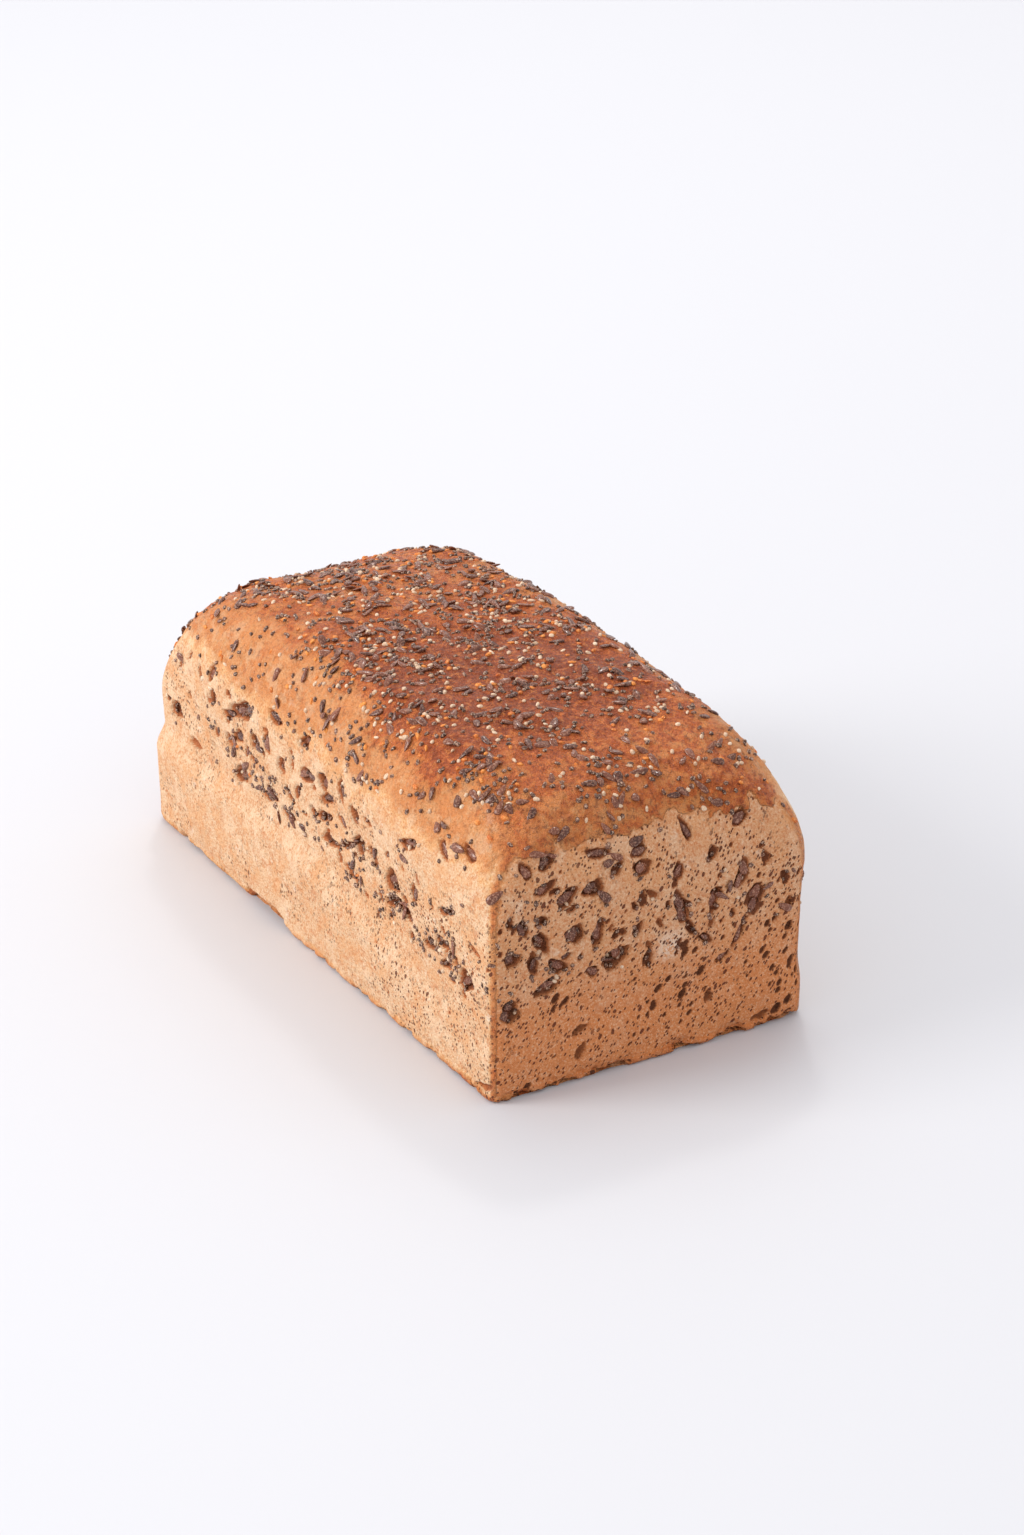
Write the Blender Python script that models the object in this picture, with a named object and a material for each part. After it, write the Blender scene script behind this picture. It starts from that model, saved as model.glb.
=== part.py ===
"""A buckwheat sourdough loaf from a tin: one solid with a domed crust and baked-in seeds.

Metres, +Z up. The loaf lies along X and rests on its flat base at z = 0, with the
middle of its length and width at the origin. +X is the end whose foot band is lowest.
"""

import math
import random

import bmesh
import bpy
from mathutils import Matrix, Vector

MM = 0.001
TINY = 1e-6

# The tin's shape, measured on the wall just above the foot band
LENGTH = 203.0 * MM
WIDTH = 101.0 * MM
HEIGHT = 87.5 * MM
TIN_FLARE = 0.02  # how far each wall leans outwards for each metre it rises
CORNER_RADIUS = 6.5 * MM
CRISP_CORNER_RADIUS = 3.5 * MM  # the upright corner at +X, -Y
BASE_ROUND = 1.6 * MM
TORN_BASE_ROUND = 2.8 * MM  # the base edge of the half towards -X was torn in turning out
TORN_FROM = -12.0 * MM
TORN_FULLY_AT = -17.0 * MM

# The foot band, which stands proud where the dough first set against the tin
FOOT_PROUD = 2.6 * MM
FOOT_HEIGHT = 30.0 * MM
FOOT_STEP = 5.0 * MM
LOW_FOOT_PROUD = 0.7 * MM  # at the +X end, where the band is low and nearly flush
LOW_FOOT_HEIGHT = 15.0 * MM
FOOT_FALL_FROM = -15.0 * MM  # the band starts to fall here
END_TRIM = 0.2 * MM  # the swelling makes the -X end this much longer again

# The risen top
SHOULDER_REACH = 19.0 * MM
SHOULDER_DROP = 28.0 * MM
SHOULDER_CORNER_GROWTH = 0.9  # corner radius gained for each metre moved in over the shoulder
END_DROP = 13.4 * MM  # how much lower the crest is above the end walls
END_DROP_POWER = 3.75
CREST_TILT = 1.3 * MM
CREST_BOW = 1.0 * MM  # fall of the top across its width

# Uneven swelling of the crust: wave lengths along X, Y and Z, phase and height
SWELLS = (
    (97 * MM, 71 * MM, 63 * MM, 2.9, 0.40 * MM),
    (41 * MM, -37 * MM, 55 * MM, 2.1, 0.25 * MM),
    (-29 * MM, 23 * MM, 31 * MM, 4.0, 0.15 * MM),
)
SWELL_FADE = 12.0 * MM  # the swelling dies away down to the base over this height

# Facets
CELLS_ALONG = 28
CELLS_ACROSS = 14
UPPER_WALL_ROWS = 4
SHOULDER_ROWS = 5
EDGE_CROWDING = 0.62  # larger draws the facets together towards the corners

# Holes in the crumb that the walls cut open
HOLES_PER_LONG_WALL = 12
HOLES_PER_END = 9
HOLE_WIDTHS = (2.4 * MM, 4.4 * MM)
HOLE_STRETCH = (1.2, 2.1)
HOLE_DEPTH = 1.9 * MM
HOLE_SINK = 0.2  # share of the depth by which a cutter's middle lies under the wall
HOLE_SPACING = 8.5 * MM
HOLE_SIDES = 7
HOLE_RINGS = 4
HOLE_TOP = 56.0 * MM
HOLE_MARGIN = 10.0 * MM  # kept clear of the upright corners
HOLE_LEAN = 0.7  # a hole's long way leans up to this many radians from upright
UPRIGHT_WALL = 0.9  # the least sideways part of a wall's normal where a hole may lie

# Bites out of the base edge at the +X end: place across as a share of the half width, radii
EDGE_BITES = (
    (-1.0, (4.0 * MM, 3.6 * MM, 2.2 * MM)),
    (0.72, (2.6 * MM, 3.0 * MM, 2.4 * MM)),
)

# Seeds: length, width, thickness
FLAX_SIZE = (4.8 * MM, 2.5 * MM, 1.3 * MM)
CHIA_SIZE = (2.2 * MM, 1.7 * MM, 1.5 * MM)
FLAX_COUNT = 92
CHIA_COUNT = 30
SEED_SPACING = 6.6 * MM
SEED_STAND = 0.16  # share of a seed's thickness by which its middle stands out of the crust
SEED_SIDES = 5
SEED_RINGS = 4
FLAX_POINT = 0.45  # how strongly a flax seed narrows to its tip
FLAX_WIDEST = -0.25  # where it is widest, as a share of its length from its middle
WALL_SEED_SHARE = 0.3  # seed density on the walls against the top
THIN_SEEDS_SLOPE = 0.2  # upward part of the normal where the seeds are still few
THICK_SEEDS_SLOPE = 0.9  # and where they lie at full density
SEED_FLOOR = 24.0 * MM  # no seeds stand out below this height
DRAWS_PER_PLACE = 60  # random draws allowed for each place that is wanted

# Colours, linear
CRUST_COLOUR = (0.292, 0.117, 0.054, 1.0)
CRUST_ROUGHNESS = 0.62
SHARP_EDGE_DEGREES = 40.0
SEED = 23


def smooth_step(value, low, high):
    """0 below low, 1 above high, easing between."""
    share = min(max((value - low) / (high - low), 0.0), 1.0)
    return share * share * (3.0 - 2.0 * share)


def clear_scene():
    for obj in list(bpy.data.objects):
        bpy.data.objects.remove(obj, do_unlink=True)


def new_collection(name):
    collection = bpy.data.collections.new(name)
    bpy.context.scene.collection.children.link(collection)
    return collection


def mesh_object(name, bm, collection):
    """A new object from a bmesh, which is freed."""
    mesh = bpy.data.meshes.new(name)
    bm.normal_update()
    bm.to_mesh(mesh)
    bm.free()
    obj = bpy.data.objects.new(name, mesh)
    collection.objects.link(obj)
    return obj


# ---- the loaf's form ------------------------------------------------------------------


def foot_height(x):
    fall = smooth_step(x, FOOT_FALL_FROM, LENGTH / 2)
    return FOOT_HEIGHT + (LOW_FOOT_HEIGHT - FOOT_HEIGHT) * fall


def foot_proud(x):
    fall = smooth_step(x, FOOT_FALL_FROM, LENGTH / 2)
    return FOOT_PROUD + (LOW_FOOT_PROUD - FOOT_PROUD) * fall


def base_round(x):
    torn = smooth_step(-x, -TORN_FROM, -TORN_FULLY_AT)
    return BASE_ROUND + (TORN_BASE_ROUND - BASE_ROUND) * torn


def wall_spread(x, z):
    """How far the wall stands outside the nominal plan at this height."""
    foot = foot_height(x)
    above = smooth_step(z, foot - FOOT_STEP / 2, foot + FOOT_STEP / 2)
    return foot_proud(x) * (1.0 - above) + TIN_FLARE * z


def crest(x, y):
    """Height of the risen top over this place, before its shoulders."""
    along = x / (LENGTH / 2)
    across = y / (WIDTH / 2)
    return HEIGHT + CREST_TILT * along - END_DROP * abs(along) ** END_DROP_POWER - CREST_BOW * across**2


def corner_radius(u, v):
    return CRISP_CORNER_RADIUS if u > 0 > v else CORNER_RADIUS


def plan_point(u, v, half_length, half_width, corner):
    """The square's point (u, v) carried to the like place of a rounded rectangle.

    Rings of the square become rounded rectangles, with corners that shrink with them.
    """
    ring = max(abs(u), abs(v))
    if ring == 0:
        return Vector((0.0, 0.0))
    radius = corner * ring
    point = Vector((u * half_length, v * half_width))
    inner_length = ring * half_length - radius
    inner_width = ring * half_width - radius
    inner = Vector((
        min(max(point.x, -inner_length), inner_length),
        min(max(point.y, -inner_width), inner_width),
    ))
    out = point - inner
    if abs(out.x) > TINY and abs(out.y) > TINY:
        out = out.normalized() * radius
    return inner + out


def wall_levels(x, wall_top):
    """Heights of the wall's rows of vertices above the base, with two round the foot's step."""
    foot = foot_height(x)
    low = [base_round(x), foot * 0.5, foot - FOOT_STEP / 2, foot + FOOT_STEP / 2]
    rise = (wall_top - low[-1]) / UPPER_WALL_ROWS
    return low + [low[-1] + rise * row for row in range(1, UPPER_WALL_ROWS + 1)]


def wall_point(u, v, level):
    """A point of the base edge, wall or shoulder, counted in levels from the base."""
    corner = corner_radius(u, v)
    edge = plan_point(u, v, LENGTH / 2, WIDTH / 2, corner)
    wall_top = crest(edge.x, edge.y) - SHOULDER_DROP
    levels = wall_levels(edge.x, wall_top)
    if level == 0:
        inset = base_round(edge.x) - wall_spread(edge.x, 0.0)
        plan = plan_point(u, v, LENGTH / 2 - inset, WIDTH / 2 - inset, corner)
        return Vector((plan.x, plan.y, 0.0))
    if level <= len(levels):
        z = levels[level - 1]
        spread = wall_spread(edge.x, z)
        plan = plan_point(u, v, LENGTH / 2 + spread, WIDTH / 2 + spread, corner)
        return Vector((plan.x, plan.y, z))
    angle = math.pi / 2 * (level - len(levels)) / SHOULDER_ROWS
    inset = SHOULDER_REACH * (1.0 - math.cos(angle))
    spread = wall_spread(edge.x, wall_top) * math.cos(angle) - inset
    rounded = corner + SHOULDER_CORNER_GROWTH * inset
    plan = plan_point(u, v, LENGTH / 2 + spread, WIDTH / 2 + spread, rounded)
    drop = SHOULDER_DROP * (1.0 - math.sin(angle))
    return Vector((plan.x, plan.y, crest(plan.x, plan.y) - drop))


def top_point(u, v):
    """A point of the top between the shoulders."""
    corner = corner_radius(u, v) + SHOULDER_CORNER_GROWTH * SHOULDER_REACH
    inner_length = LENGTH / 2 - SHOULDER_REACH
    inner_width = WIDTH / 2 - SHOULDER_REACH
    plan = plan_point(u, v, inner_length, inner_width, corner)
    return Vector((plan.x, plan.y, crest(plan.x, plan.y)))


def crowded(value):
    """Moves -1..1 so that even steps close up towards both ends."""
    reach = EDGE_CROWDING * math.pi / 2
    return math.sin(value * reach) / math.sin(reach)


def swell(point):
    """Uneven outward swelling of the crust at this place."""
    waves = sum(
        height * math.sin(2 * math.pi * (point.x / wx + point.y / wy + point.z / wz) + phase)
        for wx, wy, wz, phase, height in SWELLS
    )
    return waves * smooth_step(point.z, 0.0, SWELL_FADE)


def gridded_cube(cells):
    """A cube from -1 to 1 whose faces are grids, with this many cells along each axis."""
    bm = bmesh.new()
    bmesh.ops.create_cube(bm, size=2.0)
    for axis, count in enumerate(cells):
        along = [e for e in bm.edges if abs(e.verts[0].co[axis] - e.verts[1].co[axis]) > TINY]
        bmesh.ops.subdivide_edges(bm, edges=along, cuts=count - 1, use_grid_fill=True)
    return bm


def make_loaf(collection):
    """The whole loaf without its holes and seeds: a gridded cube moulded to the form."""
    levels = len(wall_levels(0.0, HEIGHT)) + SHOULDER_ROWS
    bm = gridded_cube((CELLS_ALONG, CELLS_ACROSS, levels))
    for vert in bm.verts:
        u = crowded(vert.co.x)
        v = crowded(vert.co.y)
        level = round((vert.co.z + 1.0) / 2.0 * levels)
        on_side = max(abs(vert.co.x), abs(vert.co.y)) > 1.0 - TINY
        if level == levels and not on_side:
            vert.co = top_point(u, v)
        else:
            vert.co = wall_point(u, v, level)
    bm.normal_update()
    moved = [(vert, vert.co + vert.normal * swell(vert.co)) for vert in bm.verts if vert.co.z > 0]
    for vert, place in moved:
        vert.co = place
    base = [face for face in bm.faces if all(vert.co.z == 0.0 for vert in face.verts)]
    bmesh.ops.dissolve_faces(bm, faces=base, use_verts=True)
    bmesh.ops.recalc_face_normals(bm, faces=bm.faces)
    return mesh_object("loaf", bm, collection)


# ---- places on the crust --------------------------------------------------------------


def scattered(obj, rng, count, weight, spacing, taken):
    """Random points on the object's faces, weighted, none nearer than the spacing to another.

    Returns (point, normal) pairs, and adds the points to those already taken.
    """
    obj.data.calc_loop_triangles()
    verts = obj.data.vertices
    triangles = obj.data.loop_triangles
    weights = [tri.area * weight(tri.center, tri.normal) for tri in triangles]
    chosen = []
    for tri in rng.choices(triangles, weights, k=count * DRAWS_PER_PLACE):
        if len(chosen) == count:
            break
        a, b, c = (verts[index].co for index in tri.vertices)
        s, t = sorted((rng.random(), rng.random()))
        point = a * s + b * (t - s) + c * (1.0 - t)
        if all((point - other).length > spacing for other in taken):
            taken.append(point)
            chosen.append((point, tri.normal.copy()))
    return chosen


def lying_at(point, normal, turn):
    """A matrix whose Z is the surface's normal, with X near level, turned about the normal."""
    side = Vector((0.0, 0.0, 1.0)).cross(normal)
    side = side.normalized() if side.length > TINY else Vector((1.0, 0.0, 0.0))
    frame = Matrix((side, normal.cross(side), normal)).transposed().to_4x4()
    return Matrix.Translation(point) @ frame @ Matrix.Rotation(turn, 4, "Z")


def hole_weight(long_wall):
    """Weight that holds the draw to one pair of walls, above the foot band."""

    def weight(point, normal):
        facing = abs(normal.y) if long_wall else abs(normal.x)
        inside = LENGTH / 2 - abs(point.x) if long_wall else WIDTH / 2 - abs(point.y)
        high = foot_height(point.x) < point.z < HOLE_TOP
        return 1.0 if facing > UPRIGHT_WALL and inside > HOLE_MARGIN and high else 0.0

    return weight


def seed_weight(point, normal):
    """Seeds lie thick on the top, thin out over the shoulders and are few on the walls."""
    if point.z < SEED_FLOOR:
        return 0.0
    thick = smooth_step(normal.z, THIN_SEEDS_SLOPE, THICK_SEEDS_SLOPE)
    return WALL_SEED_SHARE + (1.0 - WALL_SEED_SHARE) * thick


# ---- holes ----------------------------------------------------------------------------


def make_hole_cutter(index, point, normal, rng, collection):
    """A stretched ellipsoid standing half out of the wall."""
    width = rng.uniform(*HOLE_WIDTHS)
    bm = bmesh.new()
    bmesh.ops.create_uvsphere(bm, u_segments=HOLE_SIDES, v_segments=HOLE_RINGS, radius=0.5)
    size = (width, width * rng.uniform(*HOLE_STRETCH), 2.0 * HOLE_DEPTH)
    bmesh.ops.scale(bm, vec=size, verts=bm.verts)
    middle = point - normal * HOLE_DEPTH * HOLE_SINK
    place = lying_at(middle, normal, rng.uniform(-HOLE_LEAN, HOLE_LEAN))
    bmesh.ops.transform(bm, matrix=place, verts=bm.verts)
    return mesh_object(f"hole_{index:02d}", bm, collection)


def make_bite_cutter(index, share, radii, collection):
    """An ellipsoid on the base edge of the +X end."""
    bm = bmesh.new()
    bmesh.ops.create_uvsphere(bm, u_segments=HOLE_SIDES, v_segments=HOLE_RINGS, radius=1.0)
    bmesh.ops.scale(bm, vec=radii, verts=bm.verts)
    out = LOW_FOOT_PROUD
    place = Vector((LENGTH / 2 + out, share * (WIDTH / 2 + out), 0.0))
    bmesh.ops.translate(bm, vec=place, verts=bm.verts)
    return mesh_object(f"bite_{index}", bm, collection)


def make_holes(loaf, rng, collection):
    taken = []
    places = scattered(loaf, rng, 2 * HOLES_PER_LONG_WALL, hole_weight(True), HOLE_SPACING, taken)
    places += scattered(loaf, rng, 2 * HOLES_PER_END, hole_weight(False), HOLE_SPACING, taken)
    for index, (point, normal) in enumerate(places):
        make_hole_cutter(index, point, normal, rng, collection)
    for index, (share, radii) in enumerate(EDGE_BITES):
        make_bite_cutter(index, share, radii, collection)
    return taken


# ---- seeds ----------------------------------------------------------------------------


def make_seed(name, size, tip, place, collection):
    """An ellipsoid of the seed's size, narrowed towards +X by tip, at its place."""
    bm = bmesh.new()
    bmesh.ops.create_uvsphere(bm, u_segments=SEED_SIDES, v_segments=SEED_RINGS, radius=0.5)
    bmesh.ops.rotate(bm, matrix=Matrix.Rotation(math.pi / 2, 3, "Y"), verts=bm.verts)
    for vert in bm.verts:
        vert.co.y *= 1.0 - tip * (vert.co.x - FLAX_WIDEST)
    bmesh.ops.scale(bm, vec=size, verts=bm.verts)
    bmesh.ops.transform(bm, matrix=place, verts=bm.verts)
    return mesh_object(name, bm, collection)


def make_seeds(loaf, rng, taken, collection):
    """Flax first, being the larger, then chia between it."""
    kinds = (("flax", FLAX_SIZE, FLAX_POINT, FLAX_COUNT), ("chia", CHIA_SIZE, 0.0, CHIA_COUNT))
    for kind, size, tip, count in kinds:
        places = scattered(loaf, rng, count, seed_weight, SEED_SPACING, taken)
        for index, (point, normal) in enumerate(places):
            stand = point + normal * size[2] * SEED_STAND
            place = lying_at(stand, normal, rng.uniform(0.0, 2.0 * math.pi))
            make_seed(f"{kind}_{index:03d}", size, tip, place, collection)


# ---- joining --------------------------------------------------------------------------


def apply_boolean(obj, operation, collection):
    """Applies one exact Boolean with the whole collection, then removes its objects."""
    modifier = obj.modifiers.new(operation.lower(), "BOOLEAN")
    modifier.operation = operation
    modifier.solver = "EXACT"
    modifier.operand_type = "COLLECTION"
    modifier.collection = collection
    evaluated = obj.evaluated_get(bpy.context.evaluated_depsgraph_get())
    joined = bpy.data.meshes.new_from_object(evaluated)
    obj.modifiers.clear()
    plain = obj.data
    obj.data = joined
    bpy.data.meshes.remove(plain)
    for helper in list(collection.objects):
        bpy.data.objects.remove(helper, do_unlink=True)
    bpy.data.collections.remove(collection)


def keep_largest_body(obj):
    """Drops loose scraps that the Booleans leave, and fills any hollow that they seal."""
    bm = bmesh.new()
    bm.from_mesh(obj.data)
    bodies = []
    left = set(bm.verts)
    while left:
        body = {left.pop()}
        edge = list(body)
        while edge:
            near = {e.other_vert(v) for v in edge for e in v.link_edges} - body
            body |= near
            edge = list(near)
        left -= body
        bodies.append(body)
    bodies.sort(key=len, reverse=True)
    scraps = [vert for body in bodies[1:] for vert in body]
    bmesh.ops.delete(bm, geom=scraps, context="VERTS")
    bm.to_mesh(obj.data)
    bm.free()


def balance_ends(obj):
    """Shifts the loaf along X so that its ends, unequally proud at the foot, lie evenly about 0."""
    obj.data.transform(Matrix.Translation(((FOOT_PROUD - LOW_FOOT_PROUD) / 2 + END_TRIM, 0.0, 0.0)))


def dress_crust(obj):
    material = bpy.data.materials.new("baked_crust")
    material.use_nodes = True
    shader = material.node_tree.nodes["Principled BSDF"]
    shader.inputs["Base Color"].default_value = CRUST_COLOUR
    shader.inputs["Roughness"].default_value = CRUST_ROUGHNESS
    shader.inputs["Metallic"].default_value = 0.0
    obj.data.materials.clear()
    obj.data.materials.append(material)
    obj.data.shade_smooth()
    obj.data.set_sharp_from_angle(angle=math.radians(SHARP_EDGE_DEGREES))


def main():
    clear_scene()
    rng = random.Random(SEED)
    loaf = make_loaf(new_collection("buckwheat_sourdough_loaf"))
    cutters = new_collection("hole_cutters")
    toppings = new_collection("seeds")
    taken = make_holes(loaf, rng, cutters)
    make_seeds(loaf, rng, taken, toppings)
    apply_boolean(loaf, "DIFFERENCE", cutters)
    apply_boolean(loaf, "UNION", toppings)
    keep_largest_body(loaf)
    balance_ends(loaf)
    dress_crust(loaf)


if __name__ == "__main__":
    main()
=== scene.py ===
"""A buckwheat sourdough loaf from a tin: baked crust, open crumb holes and baked-in seeds.

Metres, +Z up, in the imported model's own frame: the loaf lies along X and rests at z = 0.
The skin is six closed patches that meet edge to edge, and each kind of seed is one mesh.
"""

import logging
import math
from dataclasses import dataclass, field
from enum import Enum
from itertools import product

import bpy
import numpy as np
from mathutils import Matrix, Vector


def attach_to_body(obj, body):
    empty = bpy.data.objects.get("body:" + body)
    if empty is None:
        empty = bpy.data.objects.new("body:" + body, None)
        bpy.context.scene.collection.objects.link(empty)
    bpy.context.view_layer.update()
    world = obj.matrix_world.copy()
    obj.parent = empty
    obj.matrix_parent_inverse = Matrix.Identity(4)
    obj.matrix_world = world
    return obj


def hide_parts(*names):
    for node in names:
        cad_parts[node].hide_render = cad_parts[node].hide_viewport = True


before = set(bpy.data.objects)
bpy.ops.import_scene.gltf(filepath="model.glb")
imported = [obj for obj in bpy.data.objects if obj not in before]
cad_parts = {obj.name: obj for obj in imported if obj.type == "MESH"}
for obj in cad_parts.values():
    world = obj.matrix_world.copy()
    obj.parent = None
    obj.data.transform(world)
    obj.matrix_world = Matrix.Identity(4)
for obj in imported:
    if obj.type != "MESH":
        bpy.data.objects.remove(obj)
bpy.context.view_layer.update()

Array = np.ndarray
Colour = tuple[float, float, float, float]
Span = tuple[float, float]
Lumps = tuple[float, float, float]  # a shader noise's size in metres, detail and roughness

MM = 0.001
TINY = 1e-9
BODY = "root"
CAD_NODE = "loaf"
BAKE_MAP = "OFBake"

LOG = logging.getLogger("loaf")


# ---- small helpers ---------------------------------------------------------------------


def ease(value: Array | float, low: Array | float, high: Array | float) -> Array:
    """Smooth step: 0 below low, 1 above high, by s * s * (3 - 2 s) between.

    Args:
        value: what is compared.
        low: where the step starts.
        high: where it ends.

    Returns:
        The step's height at each value.
    """
    share = np.clip((np.asarray(value, float) - low) / (high - low), 0.0, 1.0)
    return share * share * (3.0 - 2.0 * share)


def unit(vectors: Array) -> Array:
    """The vectors of the last axis at length one."""
    return vectors / np.maximum(np.linalg.norm(vectors, axis=-1, keepdims=True), TINY)


def colour(red: int, green: int, blue: int) -> Colour:
    """A screen colour as the linear colour that shaders take.

    Args:
        red: the screen's red, 0 to 255.
        green: its green.
        blue: its blue.

    Returns:
        The linear colour, opaque.
    """
    shares = np.array((red, green, blue)) / 255.0
    linear = np.where(shares <= 0.04045, shares / 12.92, ((shares + 0.055) / 1.055) ** 2.4)
    return (*map(float, linear), 1.0)


@dataclass(frozen=True)
class Ramp:
    """A value that eases from start to end while what it follows goes from low to high."""

    low: float
    high: float
    start: float = 0.0
    end: float = 1.0

    def of(self, followed: Array) -> Array:
        """The value: start + (end - start) * ease(followed, low, high)."""
        return self.start + (self.end - self.start) * ease(followed, self.low, self.high)


# ---- random fields ---------------------------------------------------------------------


@dataclass(frozen=True)
class Noise:
    """Smooth random values over space that come out the same on every run."""

    seed: int
    size: float
    primes: tuple[int, int, int] = (73856093, 19349663, 83492791)
    seed_step: int = 2654435761
    mixers: tuple[int, int] = (0xFF51AFD7ED558CCD, 0xC4CEB9FE1A85EC53)
    mixing_shift: int = 33

    def hashed(self, lattice: Array, salt: int = 0) -> Array:
        """Random shares for whole-numbered lattice points.

        The three numbers are summed with a large prime each, and the sum's bits are mixed
        by shifting and multiplying.

        Args:
            lattice: points with whole coordinates.
            salt: gives another set of values for the same points.

        Returns:
            A value from 0 to 1 for each point.
        """
        whole = lattice.astype(np.int64)
        mixed = sum(whole[..., axis] * prime for axis, prime in enumerate(self.primes))
        mixed = (mixed + self.seed * self.seed_step + salt * self.mixing_shift).astype(np.uint64)
        for mixer in self.mixers:
            mixed ^= mixed >> np.uint64(self.mixing_shift)
            mixed *= np.uint64(mixer)
        mixed ^= mixed >> np.uint64(self.mixing_shift)
        return mixed / float(2**64)

    def at(self, points: Array) -> Array:
        """Value noise: the hashed values of the eight lattice corners round each point, eased together.

        Args:
            points: places in metres.

        Returns:
            A value from 0 to 1 for each place.
        """
        scaled = points / self.size
        lattice = np.floor(scaled)
        part = scaled - lattice
        part = part * part * (3.0 - 2.0 * part)
        total = np.zeros(points.shape[:-1])
        for corner in product((0, 1), repeat=3):
            weight = np.prod(np.where(np.array(corner) == 1, part, 1.0 - part), axis=-1)
            total += weight * self.hashed(lattice + np.array(corner))
        return total

    def layered(self, points: Array, layers: int = 3) -> Array:
        """Noise at halving sizes and halving weights, added up and kept within 0 to 1.

        Args:
            points: places in metres.
            layers: how many sizes are added.

        Returns:
            A value from 0 to 1 for each place.
        """
        total = np.zeros(points.shape[:-1])
        weights = 0.0
        for layer in range(layers):
            finer = Noise(self.seed + layer, self.size / 2**layer)
            total += finer.at(points) / 2**layer
            weights += 1 / 2**layer
        return total / weights


@dataclass(frozen=True)
class Bubbles:
    """Gas bubbles through the crumb, which the skin cuts open as round or stretched pores."""

    seed: int
    spacing: float
    smallest: float
    largest: float
    grain: tuple[float, float, float] = (0.0, 0.6, 0.8)
    stretch: float = 1.5
    small_bias: float = 2.0

    def cut(self, points: Array, growth: Array) -> Array:
        """How deep the bubbles open the skin at these places.

        Each lattice cell holds one ball at a hashed place, with a hashed radius, drawn out
        along the grain. Where a place lies inside the ball, the pore's depth there is
        r * sqrt(1 - (d / r)^2), and the deepest of the 27 nearest cells counts.

        Args:
            points: places in metres.
            growth: scales the radii at each place, and 0 leaves the skin whole.

        Returns:
            The depth in metres.
        """
        noise = Noise(self.seed, self.spacing)
        grain = unit(np.array(self.grain))
        home = np.floor(points / self.spacing)
        deepest = np.zeros(points.shape[:-1])
        for step in product((-1, 0, 1), repeat=3):
            cell = home + np.array(step)
            place = np.stack([noise.hashed(cell, salt) for salt in (1, 2, 3)], axis=-1)
            away = points - (cell + place) * self.spacing
            along = away @ grain
            squared = (away**2).sum(-1) - along**2 * (1.0 - 1.0 / self.stretch**2)
            share = noise.hashed(cell, 4) ** self.small_bias
            radius = (self.smallest + (self.largest - self.smallest) * share) * growth
            inside = 1.0 - squared / np.maximum(radius**2, TINY**2)
            deepest = np.maximum(deepest, radius * np.sqrt(np.maximum(inside, 0.0)))
        return deepest


# ---- the loaf's form -------------------------------------------------------------------


class Face(Enum):
    """The six patches of the loaf's skin, by the names of their pieces."""

    TOP = "crust_top"
    LEFT = "side_wall_left"
    RIGHT = "side_wall_right"
    NEAR = "end_wall_near"
    FAR = "end_wall_far"
    UNDERSIDE = "underside"


@dataclass(frozen=True)
class Swell:
    """One long wave of uneven swelling: wave lengths along X, Y and Z, phase and height."""

    along: float
    across: float
    up: float
    phase: float
    height: float

    def at(self, points: Array) -> Array:
        """The wave's height: height * sin(2 pi (x / along + y / across + z / up) + phase)."""
        turns = points @ np.array((1 / self.along, 1 / self.across, 1 / self.up))
        return self.height * np.sin(2 * math.pi * turns + self.phase)


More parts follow.
